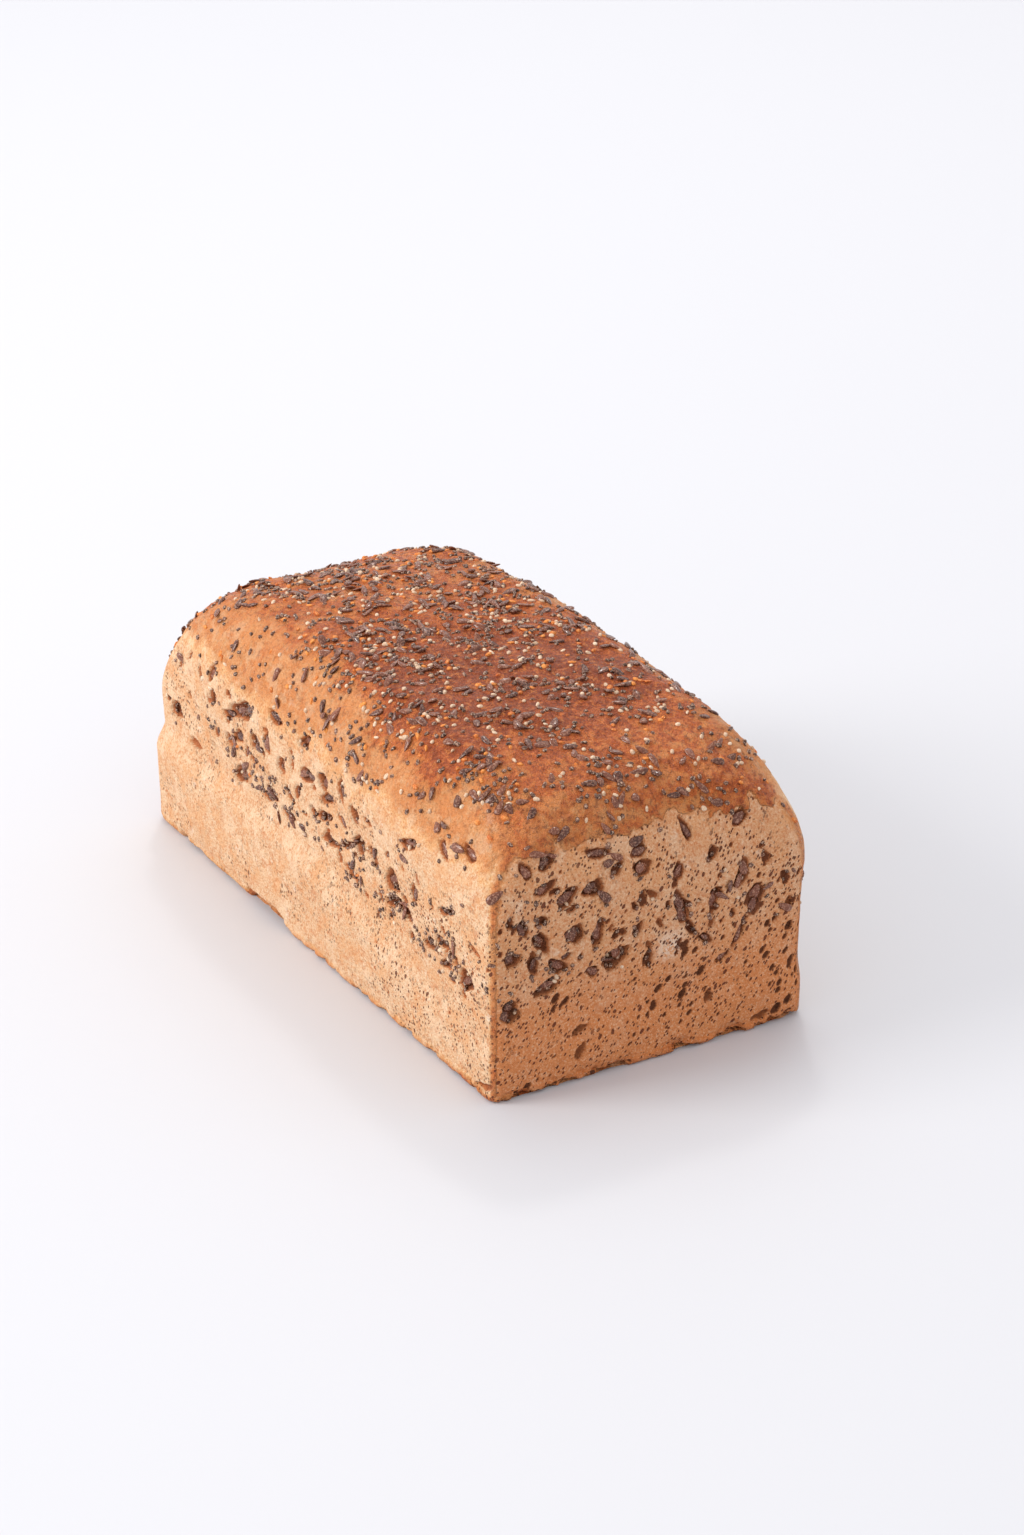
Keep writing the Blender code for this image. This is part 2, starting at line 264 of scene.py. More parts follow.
@dataclass(frozen=True)
class LoafForm:
    """The loaf's shape without its small relief, the same as the construction's.

    A rounded rectangle grows and shrinks as it rises: outwards with the tin's flare and
    the foot band, and inwards over an elliptic shoulder to the risen top.
    """

    length: float = 203.0 * MM
    width: float = 101.0 * MM
    height: float = 87.5 * MM
    tin_flare: float = 0.02
    corner: float = 6.5 * MM
    crisp_corner: float = 3.5 * MM
    base_curve: float = 1.6 * MM
    torn_base_curve: float = 2.8 * MM
    torn_from: float = -12.0 * MM
    torn_fully_at: float = -17.0 * MM
    foot_out: float = 2.6 * MM
    foot_rise: float = 30.0 * MM
    foot_step: float = 9.0 * MM
    low_foot_out: float = 0.7 * MM
    low_foot_rise: float = 15.0 * MM
    foot_falls_from: float = -15.0 * MM
    end_trim: float = 0.2 * MM
    shoulder_reach: float = 19.0 * MM
    shoulder_drop: float = 28.0 * MM
    corner_growth: float = 0.9
    end_drop: float = 13.4 * MM
    end_drop_power: float = 3.75
    crest_tilt: float = 1.3 * MM
    crest_bow: float = 1.0 * MM
    swells: tuple[Swell, ...] = (
        Swell(97 * MM, 71 * MM, 63 * MM, 2.9, 0.40 * MM),
        Swell(41 * MM, -37 * MM, 55 * MM, 2.1, 0.25 * MM),
        Swell(-29 * MM, 23 * MM, 31 * MM, 4.0, 0.15 * MM),
    )
    swell_fade: float = 12.0 * MM
    base_share: float = 0.03
    wall_share: float = 0.60

    @property
    def balance(self) -> float:
        """How far the loaf is moved along X so that its unequal ends lie evenly about 0."""
        return (self.foot_out - self.low_foot_out) / 2 + self.end_trim

    def foot(self, x: Array) -> tuple[Array, Array]:
        """The foot band, which falls towards +X.

        Args:
            x: place along.

        Returns:
            Its height, and how far it stands proud.
        """
        fall = ease(x, self.foot_falls_from, self.length / 2)
        rise = self.foot_rise + (self.low_foot_rise - self.foot_rise) * fall
        return rise, self.foot_out + (self.low_foot_out - self.foot_out) * fall

    def base_round(self, x: Array) -> Array:
        """Radius of the base edge, larger where it was torn in turning out."""
        torn = ease(-x, -self.torn_from, -self.torn_fully_at)
        return self.base_curve + (self.torn_base_curve - self.base_curve) * torn

    def spread(self, x: Array, z: Array) -> Array:
        """How far a wall stands outside the nominal plan: the foot band below its step, and the flare.

        Args:
            x: place along.
            z: height.

        Returns:
            The distance in metres.
        """
        rise, out = self.foot(x)
        above = ease(z, rise - self.foot_step / 2, rise + self.foot_step / 2)
        return out * (1.0 - above) + self.tin_flare * z

    def crest(self, x: Array, y: Array) -> Array:
        """Height of the risen top: height + tilt * s - drop * |s|^power - bow * t^2.

        Args:
            x: place along, which over the half length gives s.
            y: place across, which over the half width gives t.

        Returns:
            The height.
        """
        along = x / (self.length / 2)
        across = y / (self.width / 2)
        ends = self.end_drop * np.abs(along) ** self.end_drop_power
        return self.height + self.crest_tilt * along - ends - self.crest_bow * across**2

    def crest_slope(self, x: Array, y: Array) -> tuple[Array, Array]:
        """How steep the crest is, its formula differentiated.

        Args:
            x: place along.
            y: place across.

        Returns:
            The rise for each metre along X, and along Y.
        """
        along = x / (self.length / 2)
        power = self.end_drop_power
        ends = self.end_drop * power * np.abs(along) ** (power - 1.0) * np.sign(along)
        return (self.crest_tilt - ends) / (self.length / 2), -8.0 * self.crest_bow * y / self.width**2

    def plan(self, u: Array, v: Array, half: tuple[Array, Array], corner: Array) -> tuple[Array, Array]:
        """Carries points (u, v) of the square to the like places of a rounded rectangle.

        Rings of the square become rounded rectangles. The nearest point of the ring's inner
        rectangle is found by clamping, and what is left beyond it is brought to the radius.

        Args:
            u: place along, -1 to 1.
            v: place across, -1 to 1.
            half: the rectangle's half length and half width.
            corner: its corner radius.

        Returns:
            The plan points, and the outward plan directions, which hold on the outer ring.
        """
        ring = np.maximum(np.abs(u), np.abs(v))
        radius = corner * ring
        point = np.stack((u * half[0], v * half[1]), axis=-1)
        limit = np.stack((ring * half[0] - radius, ring * half[1] - radius), axis=-1)
        inner = np.clip(point, -limit, limit)
        out = point - inner
        both = (np.abs(out) > TINY).all(axis=-1, keepdims=True)
        out = np.where(both, unit(out) * radius[..., None], out)
        return inner + out, unit(out)

    def corners(self, u: Array, v: Array) -> Array:
        """The upright corners' radius, with the crisp one at +X, -Y."""
        return np.where((u > 0) & (v < 0), self.crisp_corner, self.corner)

    def wall(self, u: Array, v: Array, t: Array) -> tuple[Array, Array]:
        """The base edge, wall and shoulder as one surface.

        t runs a quarter circle of the base edge, then straight up the wall, then a quarter
        ellipse over the shoulder: reach * cos(a) outwards and drop * sin(a) upwards.

        Args:
            u: place along on the square's rim.
            v: place across on the square's rim.
            t: 0 at the base to 1 at the shoulder's top.

        Returns:
            Points and outward normals.
        """
        corner = self.corners(u, v)
        nominal = (np.full_like(u, self.length / 2), np.full_like(u, self.width / 2))
        edge, _ = self.plan(u, v, nominal, corner)
        x = edge[..., 0]
        stand = self.spread(x, self.crest(x, edge[..., 1]) - self.shoulder_drop)
        start, _ = self.plan(u, v, (nominal[0] + stand, nominal[1] + stand), corner)
        wall_top = self.crest(start[..., 0], start[..., 1]) - self.shoulder_drop
        curve = self.base_round(x)
        low_angle = math.pi / 2 * (np.clip(t / self.base_share, 0.0, 1.0) - 1.0)
        climb = np.clip((t - self.base_share) / (self.wall_share - self.base_share), 0.0, 1.0)
        high_angle = math.pi / 2 * np.clip((t - self.wall_share) / (1.0 - self.wall_share), 0.0, 1.0)
        z = curve * (1.0 + np.sin(low_angle)) + (wall_top - curve) * climb
        tuck = curve * (1.0 - np.cos(low_angle))
        inset = self.shoulder_reach * (1.0 - np.cos(high_angle))
        out = self.spread(x, z) * np.cos(high_angle) - inset - tuck
        half = (nominal[0] + out, nominal[1] + out)
        plan, away = self.plan(u, v, half, corner + self.corner_growth * inset)
        on_shoulder = t > self.wall_share
        over = self.crest(plan[..., 0], plan[..., 1]) - self.shoulder_drop * (1.0 - np.sin(high_angle))
        z = np.where(on_shoulder, over, z)
        step = 0.25 * MM
        lean = (self.spread(x, z + step) - self.spread(x, z - step)) / (2 * step)
        level = np.where(on_shoulder, self.shoulder_drop * np.cos(high_angle), np.cos(low_angle))
        foot_lift = np.sin(low_angle) - lean * np.cos(low_angle)
        lift = np.where(on_shoulder, self.shoulder_reach * np.sin(high_angle), foot_lift)
        normal = np.concatenate((away * level[..., None], lift[..., None]), axis=-1)
        slope_x, slope_y = self.crest_slope(plan[..., 0], plan[..., 1])
        sheared = np.stack(
            (normal[..., 0] - lift * slope_x, normal[..., 1] - lift * slope_y, normal[..., 2]), axis=-1
        )
        normal = np.where(on_shoulder[..., None], sheared, normal)
        return np.concatenate((plan, z[..., None]), axis=-1), unit(normal)

    def top(self, u: Array, v: Array) -> tuple[Array, Array]:
        """The top between the shoulders: the crest over a rounded rectangle.

        Args:
            u: place along, -1 to 1.
            v: place across, -1 to 1.

        Returns:
            Points and outward normals.
        """
        reach = self.shoulder_reach
        half = (np.full_like(u, self.length / 2 - reach), np.full_like(u, self.width / 2 - reach))
        plan, _ = self.plan(u, v, half, self.corners(u, v) + self.corner_growth * reach)
        x, y = plan[..., 0], plan[..., 1]
        slope_x, slope_y = self.crest_slope(x, y)
        points = np.stack((x, y, self.crest(x, y)), axis=-1)
        return points, unit(np.stack((-slope_x, -slope_y, np.ones_like(x)), axis=-1))

    def underside(self, u: Array, v: Array) -> tuple[Array, Array]:
        """The flat base inside the base edge.

        Args:
            u: place along, -1 to 1.
            v: place across, -1 to 1.

        Returns:
            Points and outward normals.
        """
        corner = self.corners(u, v)
        nominal = (np.full_like(u, self.length / 2), np.full_like(u, self.width / 2))
        ring = np.maximum(np.maximum(np.abs(u), np.abs(v)), TINY)
        edge, _ = self.plan(u / ring, v / ring, nominal, corner)
        out = self.spread(edge[..., 0], np.zeros_like(u)) - self.base_round(edge[..., 0])
        plan, _ = self.plan(u, v, (nominal[0] + out, nominal[1] + out), corner)
        points = np.concatenate((plan, np.zeros_like(u)[..., None]), axis=-1)
        return points, np.broadcast_to(np.array((0.0, 0.0, -1.0)), points.shape).copy()

    def swelling(self, points: Array) -> Array:
        """Uneven outward swelling: the long waves added up, dying away down to the base."""
        waves = sum(swell.at(points) for swell in self.swells)
        return waves * ease(points[..., 2], 0.0, self.swell_fade)

    def surface(self, face: Face, s: Array, t: Array) -> tuple[Array, Array]:
        """One patch as seen from outside, with s to the right and t upwards.

        Args:
            face: the patch.
            s: -1 at its left edge to 1 at its right.
            t: 0 at its lower edge to 1 at its upper.

        Returns:
            Points, before the swelling, and outward normals.
        """
        one = np.ones_like(s)
        match face:
            case Face.TOP:
                return self.top(s, 2.0 * t - 1.0)
            case Face.UNDERSIDE:
                return self.underside(s, 1.0 - 2.0 * t)
            case Face.LEFT:
                return self.wall(s, -one, t)
            case Face.RIGHT:
                return self.wall(-s, one, t)
            case Face.NEAR:
                return self.wall(one, s, t)
            case _:
                return self.wall(-one, -s, t)


# ---- relief ----------------------------------------------------------------------------


class Coat(Enum):
    """The four kinds of seed, by the names of their pieces."""

    FLAX = "flax_seeds"
    DARK_CHIA = "dark_chia_seeds"
    PALE_CHIA = "pale_chia_seeds"
    GRIT = "grain_grit"


class Filling(Enum):
    """What lies in a hole of the crumb."""

    EMPTY = "nothing"
    CHIA = "chia seeds"
    FLAX = "flax seeds"
    MIXED = "flax and chia seeds"
    PALE = "a pale chia seed"


# A hole holds one seed with this coat for each of these areas, in square millimetres, that it exceeds.
SEED_AREAS = {
    (Filling.FLAX, Coat.FLAX): (0.0, 26.0),
    (Filling.FLAX, Coat.DARK_CHIA): (20.0,),
    (Filling.MIXED, Coat.FLAX): (9.0, 30.0),
    (Filling.MIXED, Coat.PALE_CHIA): (24.0,),
    (Filling.PALE, Coat.PALE_CHIA): (0.0,),
}
# Dark chia crowds what area other seeds leave, at so many for each square millimetre.
CHIA_CROWDS = {Filling.MIXED: (6.0, 0.22), Filling.CHIA: (0.0, 0.26)}
LEAST_CROWDED = 4.0
# What points right on each wall as seen from outside.
RIGHTWARDS = {Face.LEFT: (1.0, 0.0), Face.RIGHT: (-1.0, 0.0), Face.NEAR: (0.0, 1.0), Face.FAR: (0.0, -1.0)}


@dataclass(frozen=True)
class CrumbHole:
    """A bubble or a seed's bed that a wall cuts open, in millimetres on the wall's face.

    along runs to the right from the wall's middle as seen from outside, and up from the
    base. lean turns the hole's long way clockwise from upright, in degrees.
    """

    filling: Filling
    along: float
    up: float
    wide: float
    tall: float
    lean: float = 0.0
    least_depth: float = 0.45
    depth_share: float = 0.44
    flax_depth: float = 1.3
    most_depth: float = 2.6
    # An empty hole gets less of the hole's tone and painted shade.
    empty_hole_shade: float = 0.75
    rim_waves: tuple[tuple[int, float], ...] = ((2, 0.12), (3, 0.10), (5, 0.07))

    # cover is how strongly a hole's browner crumb and painted shade of its hollow show.
    @property
    def cover(self) -> float:
        """How fully the hole's colour hides the wall's: an empty one stays a little paler."""
        return self.empty_hole_shade if self.filling is Filling.EMPTY else 1.0

    @property
    def area(self) -> float:
        """The opening's area in square millimetres."""
        return math.pi / 4 * self.wide * self.tall

    @property
    def depth(self) -> float:
        """Depth in metres: a flax seed's bed is as deep as the seed, and others follow their width."""
        by_width = min(self.least_depth + self.depth_share * self.wide, self.most_depth)
        return (self.flax_depth if self.filling is Filling.FLAX else by_width) * MM

    def distance(self, across: Array, up: Array, phases: Array) -> Array:
        """How far from the hole's middle each place is, as a share of the way to its rim.

        The place is turned into the hole's own axes, and its distance from the middle, in
        half widths, is divided by a rim that wanders by three waves round the hole.

        Args:
            across: metres along the wall, to the right as seen from outside.
            up: metres above the base.
            phases: phases of the rim's three waves.

        Returns:
            0 at the middle and 1 on the rim.
        """
        turn = math.radians(self.lean)
        dx, dz = across - self.along * MM, up - self.up * MM
        side = (dx * math.cos(turn) - dz * math.sin(turn)) / (self.wide * MM / 2)
        tip = (dx * math.sin(turn) + dz * math.cos(turn)) / (self.tall * MM / 2)
        angle = np.arctan2(tip, side)
        rim = 1.0
        for (waves, size), phase in zip(self.rim_waves, phases):
            rim = rim + size * np.sin(waves * angle + phase)
        return np.hypot(side, tip) / rim

    def long_way(self, face: Face) -> Array:
        """The hole's long direction on this wall, at length one."""
        turn = math.radians(self.lean)
        return np.array((*(np.array(RIGHTWARDS[face]) * math.sin(turn)), math.cos(turn)))

    def holds(self, coat: Coat) -> int:
        """How many seeds with this coat lie in the hole, by its filling and its area.

        Args:
            coat: the kind of seed.

        Returns:
            Their number.
        """
        if coat is Coat.DARK_CHIA and self.filling in CHIA_CROWDS:
            taken, density = CHIA_CROWDS[self.filling]
            return round(max(self.area - taken, LEAST_CROWDED) * density)
        return sum(self.area > area for area in SEED_AREAS.get((self.filling, coat), ()))


def set_out(filling: Filling, *rows: tuple[float, ...]) -> tuple[CrumbHole, ...]:
    """Holes with one filling, each row being its along, up, wide, tall and lean."""
    return tuple(CrumbHole(filling, *row) for row in rows)


NEAR_HOLES = (
    *set_out(
        Filling.FLAX,
        (-38, 66.5, 3.5, 4.5, -20), (-3.5, 64.5, 3.5, 5, 85), (-3, 60, 4, 6.5, 85), (8, 56, 3, 6, 15),
        (12.5, 66.5, 2.5, 6, -20), (29.5, 66, 4, 5, 60), (28.5, 50.5, 4, 9, 22), (33, 41.5, 6, 9, 15),
        (27.5, 32, 2, 8, 35), (22.5, 26.5, 2, 4.5, 60), (16.5, 34, 2.5, 5, -60), (-19.5, 33, 3, 4.5, -70),
        (-38, 39.5, 3, 6, -8),
    ),
    *set_out(
        Filling.MIXED,
        (-31.5, 67.5, 3.5, 5, 50), (-33, 61, 3, 6.5, 70), (-16, 66.5, 3, 6.5, -80), (-27, 57, 4.5, 7, 60),
        (-19, 58, 4.5, 6, 70), (-41, 51.5, 3, 5.5, -10), (-35.5, 46, 4, 7.5, -20), (-25, 46, 5, 6.5, 25),
        (-18, 44.5, 4, 8, 10), (-44.5, 43, 5, 5), (-30.5, 37.5, 4.5, 6, -50), (-12, 35, 5.5, 10, 70),
        (-34, 32, 4, 9, 70), (-45.5, 27.5, 6, 6.5, 30), (8.5, 45.5, 4.5, 10, -15), (19, 45, 3.5, 7.5, 10),
    ),
    *set_out(
        Filling.CHIA,
        (-11, 61.5, 2.5, 5, 45), (-4, 52, 2, 4, 20), (19.5, 58.5, 3, 4.5, 35), (36.5, 53.5, 2.5, 4.5, -30),
        (-5.5, 42.5, 2.5, 5, 35), (11.5, 38.5, 2.5, 6, -35), (-2, 32.5, 2.5, 6.5, 12),
        (42.5, 46.5, 2.5, 3.5, -40), (-45, 54, 2.5, 3), (-35, 52.5, 2.5, 3.5, -50),
    ),
    *set_out(
        Filling.EMPTY,
        (44, 37.5, 2.5, 4, 10), (-23.5, 16, 2.5, 4.5, 75), (-23.5, 9.5, 3, 5, 20), (18, 15, 3, 3),
        (35.5, 4, 3, 5.5, 85),
    ),
)

LEFT_HOLES = (
    *set_out(
        Filling.FLAX,
        (-46, 50.5, 4, 6, 80), (-27, 56.5, 4, 7, 10), (-8.5, 48.5, 2.5, 5, 30), (-3.5, 55.5, 4, 9, 80),
        (17.5, 59.5, 4, 7, -10), (17.5, 50, 2.5, 6, -65), (52.5, 38.5, 3, 8, -75), (60, 46.5, 3.5, 7, 20),
        (73.5, 65.5, 3, 5.5, -50), (84, 68.5, 3, 6, -70),
    ),
    *set_out(
        Filling.MIXED,
        (-64.5, 63.5, 3, 6.5, 30), (-63, 56, 4.5, 6.5, 20), (-44, 59.5, 6, 13, 70), (-52.5, 55, 3, 7, 80),
        (-35.5, 53, 5, 6, 55), (-18.5, 52.5, 4.5, 5.5, 60), (-46, 38, 5.5, 9, 65), (-15, 38.5, 3, 9, 80),
        (-6.5, 65, 3.5, 6, 65), (-23.5, 65.5, 3.5, 7, -75), (6, 57.5, 5, 7, 30), (8, 53, 3.5, 8, 70),
        (28, 47, 5, 7, 30), (46.5, 44, 6, 9, 70), (57.5, 60.5, 3.5, 9, 75), (76, 38.5, 3.5, 7, 80),
        (88.5, 32.5, 5.5, 9, 60),
    ),
    *set_out(
        Filling.CHIA,
        (-88.5, 42, 6, 5.5, -50), (-37.5, 47, 2.5, 5, -75), (-27.5, 38.5, 3, 10, 75), (-13, 45.5, 3, 6, -60),
        (6, 46.5, 3, 9, 75), (10.5, 40.5, 3.5, 10, 85), (20, 43.5, 2.5, 8, 60), (22.5, 35.5, 2.5, 9, -75),
        (25.5, 55.5, 4, 6, -30), (46, 37.5, 3.5, 7, 60), (68.5, 34.5, 4, 8, 70), (77.5, 32.5, 3, 7, 60),
        (78, 49, 2.5, 7, 75),
    ),
    *set_out(
        Filling.EMPTY,
        (-76.5, 35.5, 3, 6, 90), (-53, 46, 4, 5.5, -35), (-12.5, 56.5, 2, 6, -15), (36, 46.5, 2.5, 8, -45),
        (93, 43.5, 2, 6.5, -80), (-28, 1, 7, 26, 88), (97.5, 4, 2.5, 7, 75),
    ),
)


@dataclass(frozen=True)
class RandomHoles:
    """Draws holes in a slanting band, where none are set out one by one."""

    seed: int
    count: int
    half_span: float
    widest: float = 5.2
    middle: float = 44.0
    fall: float = 0.10
    band: float = 17.0
    spacing: float = 5.2
    narrowest: float = 1.4
    least_stretch: float = 1.1
    most_stretch: float = 2.1
    most_lean: float = 80.0
    tries: int = 40
    fillings: tuple[Filling, ...] = (
        Filling.EMPTY, Filling.CHIA, Filling.FLAX, Filling.MIXED, Filling.CHIA, Filling.EMPTY, Filling.PALE,
    )

    def draw(self) -> tuple[CrumbHole, ...]:
        """Random places about the band's middle line, none nearer than the spacing to another.

        Returns:
            The holes, each with a random size, filling and lean.
        """
        rng = np.random.default_rng(self.seed)
        places: list[Array] = []
        holes: list[CrumbHole] = []
        for _ in range(self.count * self.tries):
            if len(holes) == self.count:
                break
            along = rng.uniform(-self.half_span, self.half_span)
            up = self.middle - self.fall * along + rng.triangular(-self.band, 0.0, self.band)
            place = np.array((along, up))
            if any(np.linalg.norm(place - other) < self.spacing for other in places):
                continue
            places.append(place)
            wide = rng.triangular(self.narrowest, self.narrowest, self.widest)
            tall = wide * rng.uniform(self.least_stretch, self.most_stretch)
            filling = self.fillings[rng.integers(len(self.fillings))]
            if filling is Filling.PALE:
                wide = tall = self.narrowest
            lean = rng.uniform(-self.most_lean, self.most_lean)
            holes.append(CrumbHole(filling, float(along), float(up), wide, tall, lean))
        return tuple(holes)


@dataclass
class Patch:
    """One patch of skin as built: its places, normals and what its finish and the sowing read."""

    face: Face
    points: Array
    normals: Array
    bake: Array
    # The holes' browner crumb and painted shade in their hollows and pits, 0 to 1.
    hole_tone_and_shade: Array
    pored: Array
    # End-wall weight for their browner tone and painted shade, strongest at their foot.
    end_and_shade: Array
    around: Array
    hole: Array


@dataclass(frozen=True)
class Relief:
    """Everything on the skin that is smaller than the loaf's form."""

    form: LoafForm
    crust_line: float = 66.0 * MM
    end_arch: float = 5.0 * MM
    line_drift: float = 5.0 * MM
    line_raggedness: float = 10.0 * MM
    soft_line: float = 5.0 * MM
    sharp_line: float = 0.8 * MM
    end_turn: Ramp = Ramp(-0.2, 0.5)
    wrinkle: Noise = Noise(11, 6.5 * MM)
    wrinkle_height: float = 1.1 * MM
    blister: Noise = Noise(23, 1.7 * MM)
    blister_height: float = 0.75 * MM
    skin: Noise = Noise(31, 4.0 * MM)
    skin_height: float = 0.3 * MM
    drift: Noise = Noise(41, 14.0 * MM)
    ragged: Noise = Noise(47, 3.4 * MM)
    crumbs: Noise = Noise(53, 4.6 * MM)
    floor_noise: Noise = Noise(71, 1.1 * MM)
    bubbles: Bubbles = Bubbles(61, 2.9 * MM, 0.30 * MM, 0.95 * MM)
    lip: Ramp = Ramp(0.7, 0.95, 0.35 * MM, 0.0)
    deep_drift: float = 18.0 * MM
    deepening: Ramp = Ramp(3.0 * MM, 20.0 * MM)
    far_paling: Ramp = Ramp(-25.0 * MM, 50.0 * MM, 1.0, 0.30)
    near_paling: Ramp = Ramp(40.0 * MM, 88.0 * MM, 1.0, 0.10)
    # The right shoulder is baked paler: partly a lighter bake, partly painted sheen at its edge.
    right_paling_and_sheen: Ramp = Ramp(0.0, 35.0 * MM, 0.0, 4.0 * MM)
    right_paling_and_sheen_end: Ramp = Ramp(65.0 * MM, 92.0 * MM, 1.0, 0.0)
    corner_toast: Ramp = Ramp(0.35, 0.66, 0.0, 0.32)
    base_toast: Ramp = Ramp(0.8 * MM, 3.8 * MM, 0.42, 0.0)
    near_corner_along: Ramp = Ramp(60.0 * MM, 95.0 * MM)
    near_corner_across: Ramp = Ramp(30.0 * MM, 46.0 * MM)
    far_base_share: float = 0.60
    toast_mottle: Span = (0.45, 1.1)
    shoulder_bake: float = 0.24
    end_bake: Ramp = Ramp(-25.0 * MM, 35.0 * MM, 0.12, 0.26)
    low_crumb: Ramp = Ramp(46.0 * MM, 62.0 * MM, 1.0, 0.0)
    side_pores: float = 0.24
    near_side_pores: Ramp = Ramp(10.0 * MM, 90.0 * MM, 0.0, 0.26)
    high_end_pores: float = 0.45
    near_end_pores: Ramp = Ramp(0.0, 60.0 * MM)
    pore_drift: Ramp = Ramp(0.3, 0.7, 0.55, 1.45)
    pore_depth: float = 1.1
    # Painted shade in the bubble pits, darker where they are deeper.
    pit_shade: Ramp = Ramp(0.08 * MM, 0.35 * MM)
    hole_reach: float = 1.5
    hole_edge: float = 0.3
    bowl_power: int = 3
    rim_shade: float = 0.4
    hole_surround: Ramp = Ramp(1.1, 2.6, 1.0, 0.0)
    floor_mottle: Span = (0.85, 0.3)
    crumbling: Ramp = Ramp(0.42, 0.75, 0.0, 2.8 * MM)
    crumb_rise: Ramp = Ramp(0.0, 6.0 * MM, 1.0, 0.0)
    near_crumbs: Ramp = Ramp(40.0 * MM, 95.0 * MM, 0.5, 1.0)
    base_grain: Ramp = Ramp(0.5, 0.8, 0.0, 0.6 * MM)
    # Painted shade: the end walls' darker tone is strongest at their foot and halves higher up.
    end_foot_shade: Ramp = Ramp(18.0 * MM, 46.0 * MM, 1.0, 0.50)
    holes: dict[Face, tuple[CrumbHole, ...]] = field(default_factory=lambda: {
        Face.NEAR: NEAR_HOLES + RandomHoles(3, 24, 46.0, widest=2.3, spacing=4.0).draw(),
        Face.LEFT: LEFT_HOLES + RandomHoles(4, 44, 94.0, widest=2.6, spacing=4.0).draw(),
        Face.RIGHT: RandomHoles(5, 90, 94.0, fall=-0.10).draw(),
        Face.FAR: RandomHoles(9, 60, 45.0, fall=0.0).draw(),
    })

    def numbered(self) -> list[tuple[Face, CrumbHole]]:
        """Every hole with its wall. A hole's number is its place in this list."""
        return [(face, hole) for face, holes in self.holes.items() for hole in holes]

    def endness(self, normals: Array) -> Array:
        """1 on an end wall, 0 on a side wall, easing round the corner between."""
        return self.end_turn.of(np.abs(normals[..., 0]) - np.abs(normals[..., 1]))

    def risen(self, points: Array, end: Array) -> Array:
        """Where the crust browned above the tin: 0 on the pale wall, 1 over the crust line.

        The line arches over an end wall and wanders. It is soft on the side walls and sharp
        and ragged on the end walls.

        Args:
            points: places on the form.
            end: 1 on an end wall and 0 on a side wall.

        Returns:
            The share of crust.
        """
        across = points[..., 1] / (self.form.width / 2)
        line = self.crust_line + end * self.end_arch * (1.0 - across**2)
        wander = (self.drift.at(points) - 0.5) * self.line_drift
        wander = wander + (self.ragged.layered(points) - 0.5) * self.line_raggedness
        width = self.soft_line + (self.sharp_line - self.soft_line) * end
        return ease(points[..., 2] + wander, line - width, line + width)

    def browning(self, points: Array, normals: Array, end: Array, risen: Array) -> Array:
        """How dark the bake is, from the pale wall at 0 to the middle of the top at 1.

        Args:
            points: places on the form.
            normals: its normals there.
            end: 1 on an end wall and 0 on a side wall.
            risen: the share of crust.

        Returns:
            The bake at each place, with the toasted corners and base edge.
        """
        x, y, z = np.moveaxis(points, -1, 0)
        inward = np.minimum(self.form.length / 2 - np.abs(x), self.form.width / 2 - np.abs(y))
        # Paler right shoulder: partly a lighter bake, partly painted sheen.
        inward = inward - self.right_paling_and_sheen.of(y) * self.right_paling_and_sheen_end.of(x)
        deep = self.deepening.of(inward + (self.drift.layered(points) - 0.5) * self.deep_drift)
        deep = deep * self.far_paling.of(-x) * self.near_paling.of(x)
        corner = self.corner_toast.of(np.abs(normals[..., :2]).min(axis=-1))
        near_corner = self.near_corner_along.of(x) * self.near_corner_across.of(-y)
        base = self.base_toast.of(z) * (self.far_base_share + (1.0 - self.far_base_share) * near_corner)
        least, spread = self.toast_mottle
        toast = np.maximum(corner, base) * (least + spread * self.ragged.layered(points))
        start = self.shoulder_bake + end * self.end_bake.of(y)
        return np.maximum(risen * (start + (1.0 - start) * deep), toast * (1.0 - risen))

    def pores(self, points: Array, end: Array, risen: Array) -> Array:
        """How open the crumb is here: most on the near end, less on the sides, none on crust.

        Args:
            points: places on the form.
            end: 1 on an end wall and 0 on a side wall.
            risen: the share of crust.

        Returns:
            The growth of the bubbles' radii.
        """
        low = self.low_crumb.of(points[..., 2])
        side = self.side_pores + low * self.near_side_pores.of(points[..., 0])
        high = self.high_end_pores
        near = (high + (1.0 - high) * low) * end * self.near_end_pores.of(points[..., 0])
        return np.maximum(side, near) * (1.0 - risen) * self.pore_drift.of(self.drift.at(points))

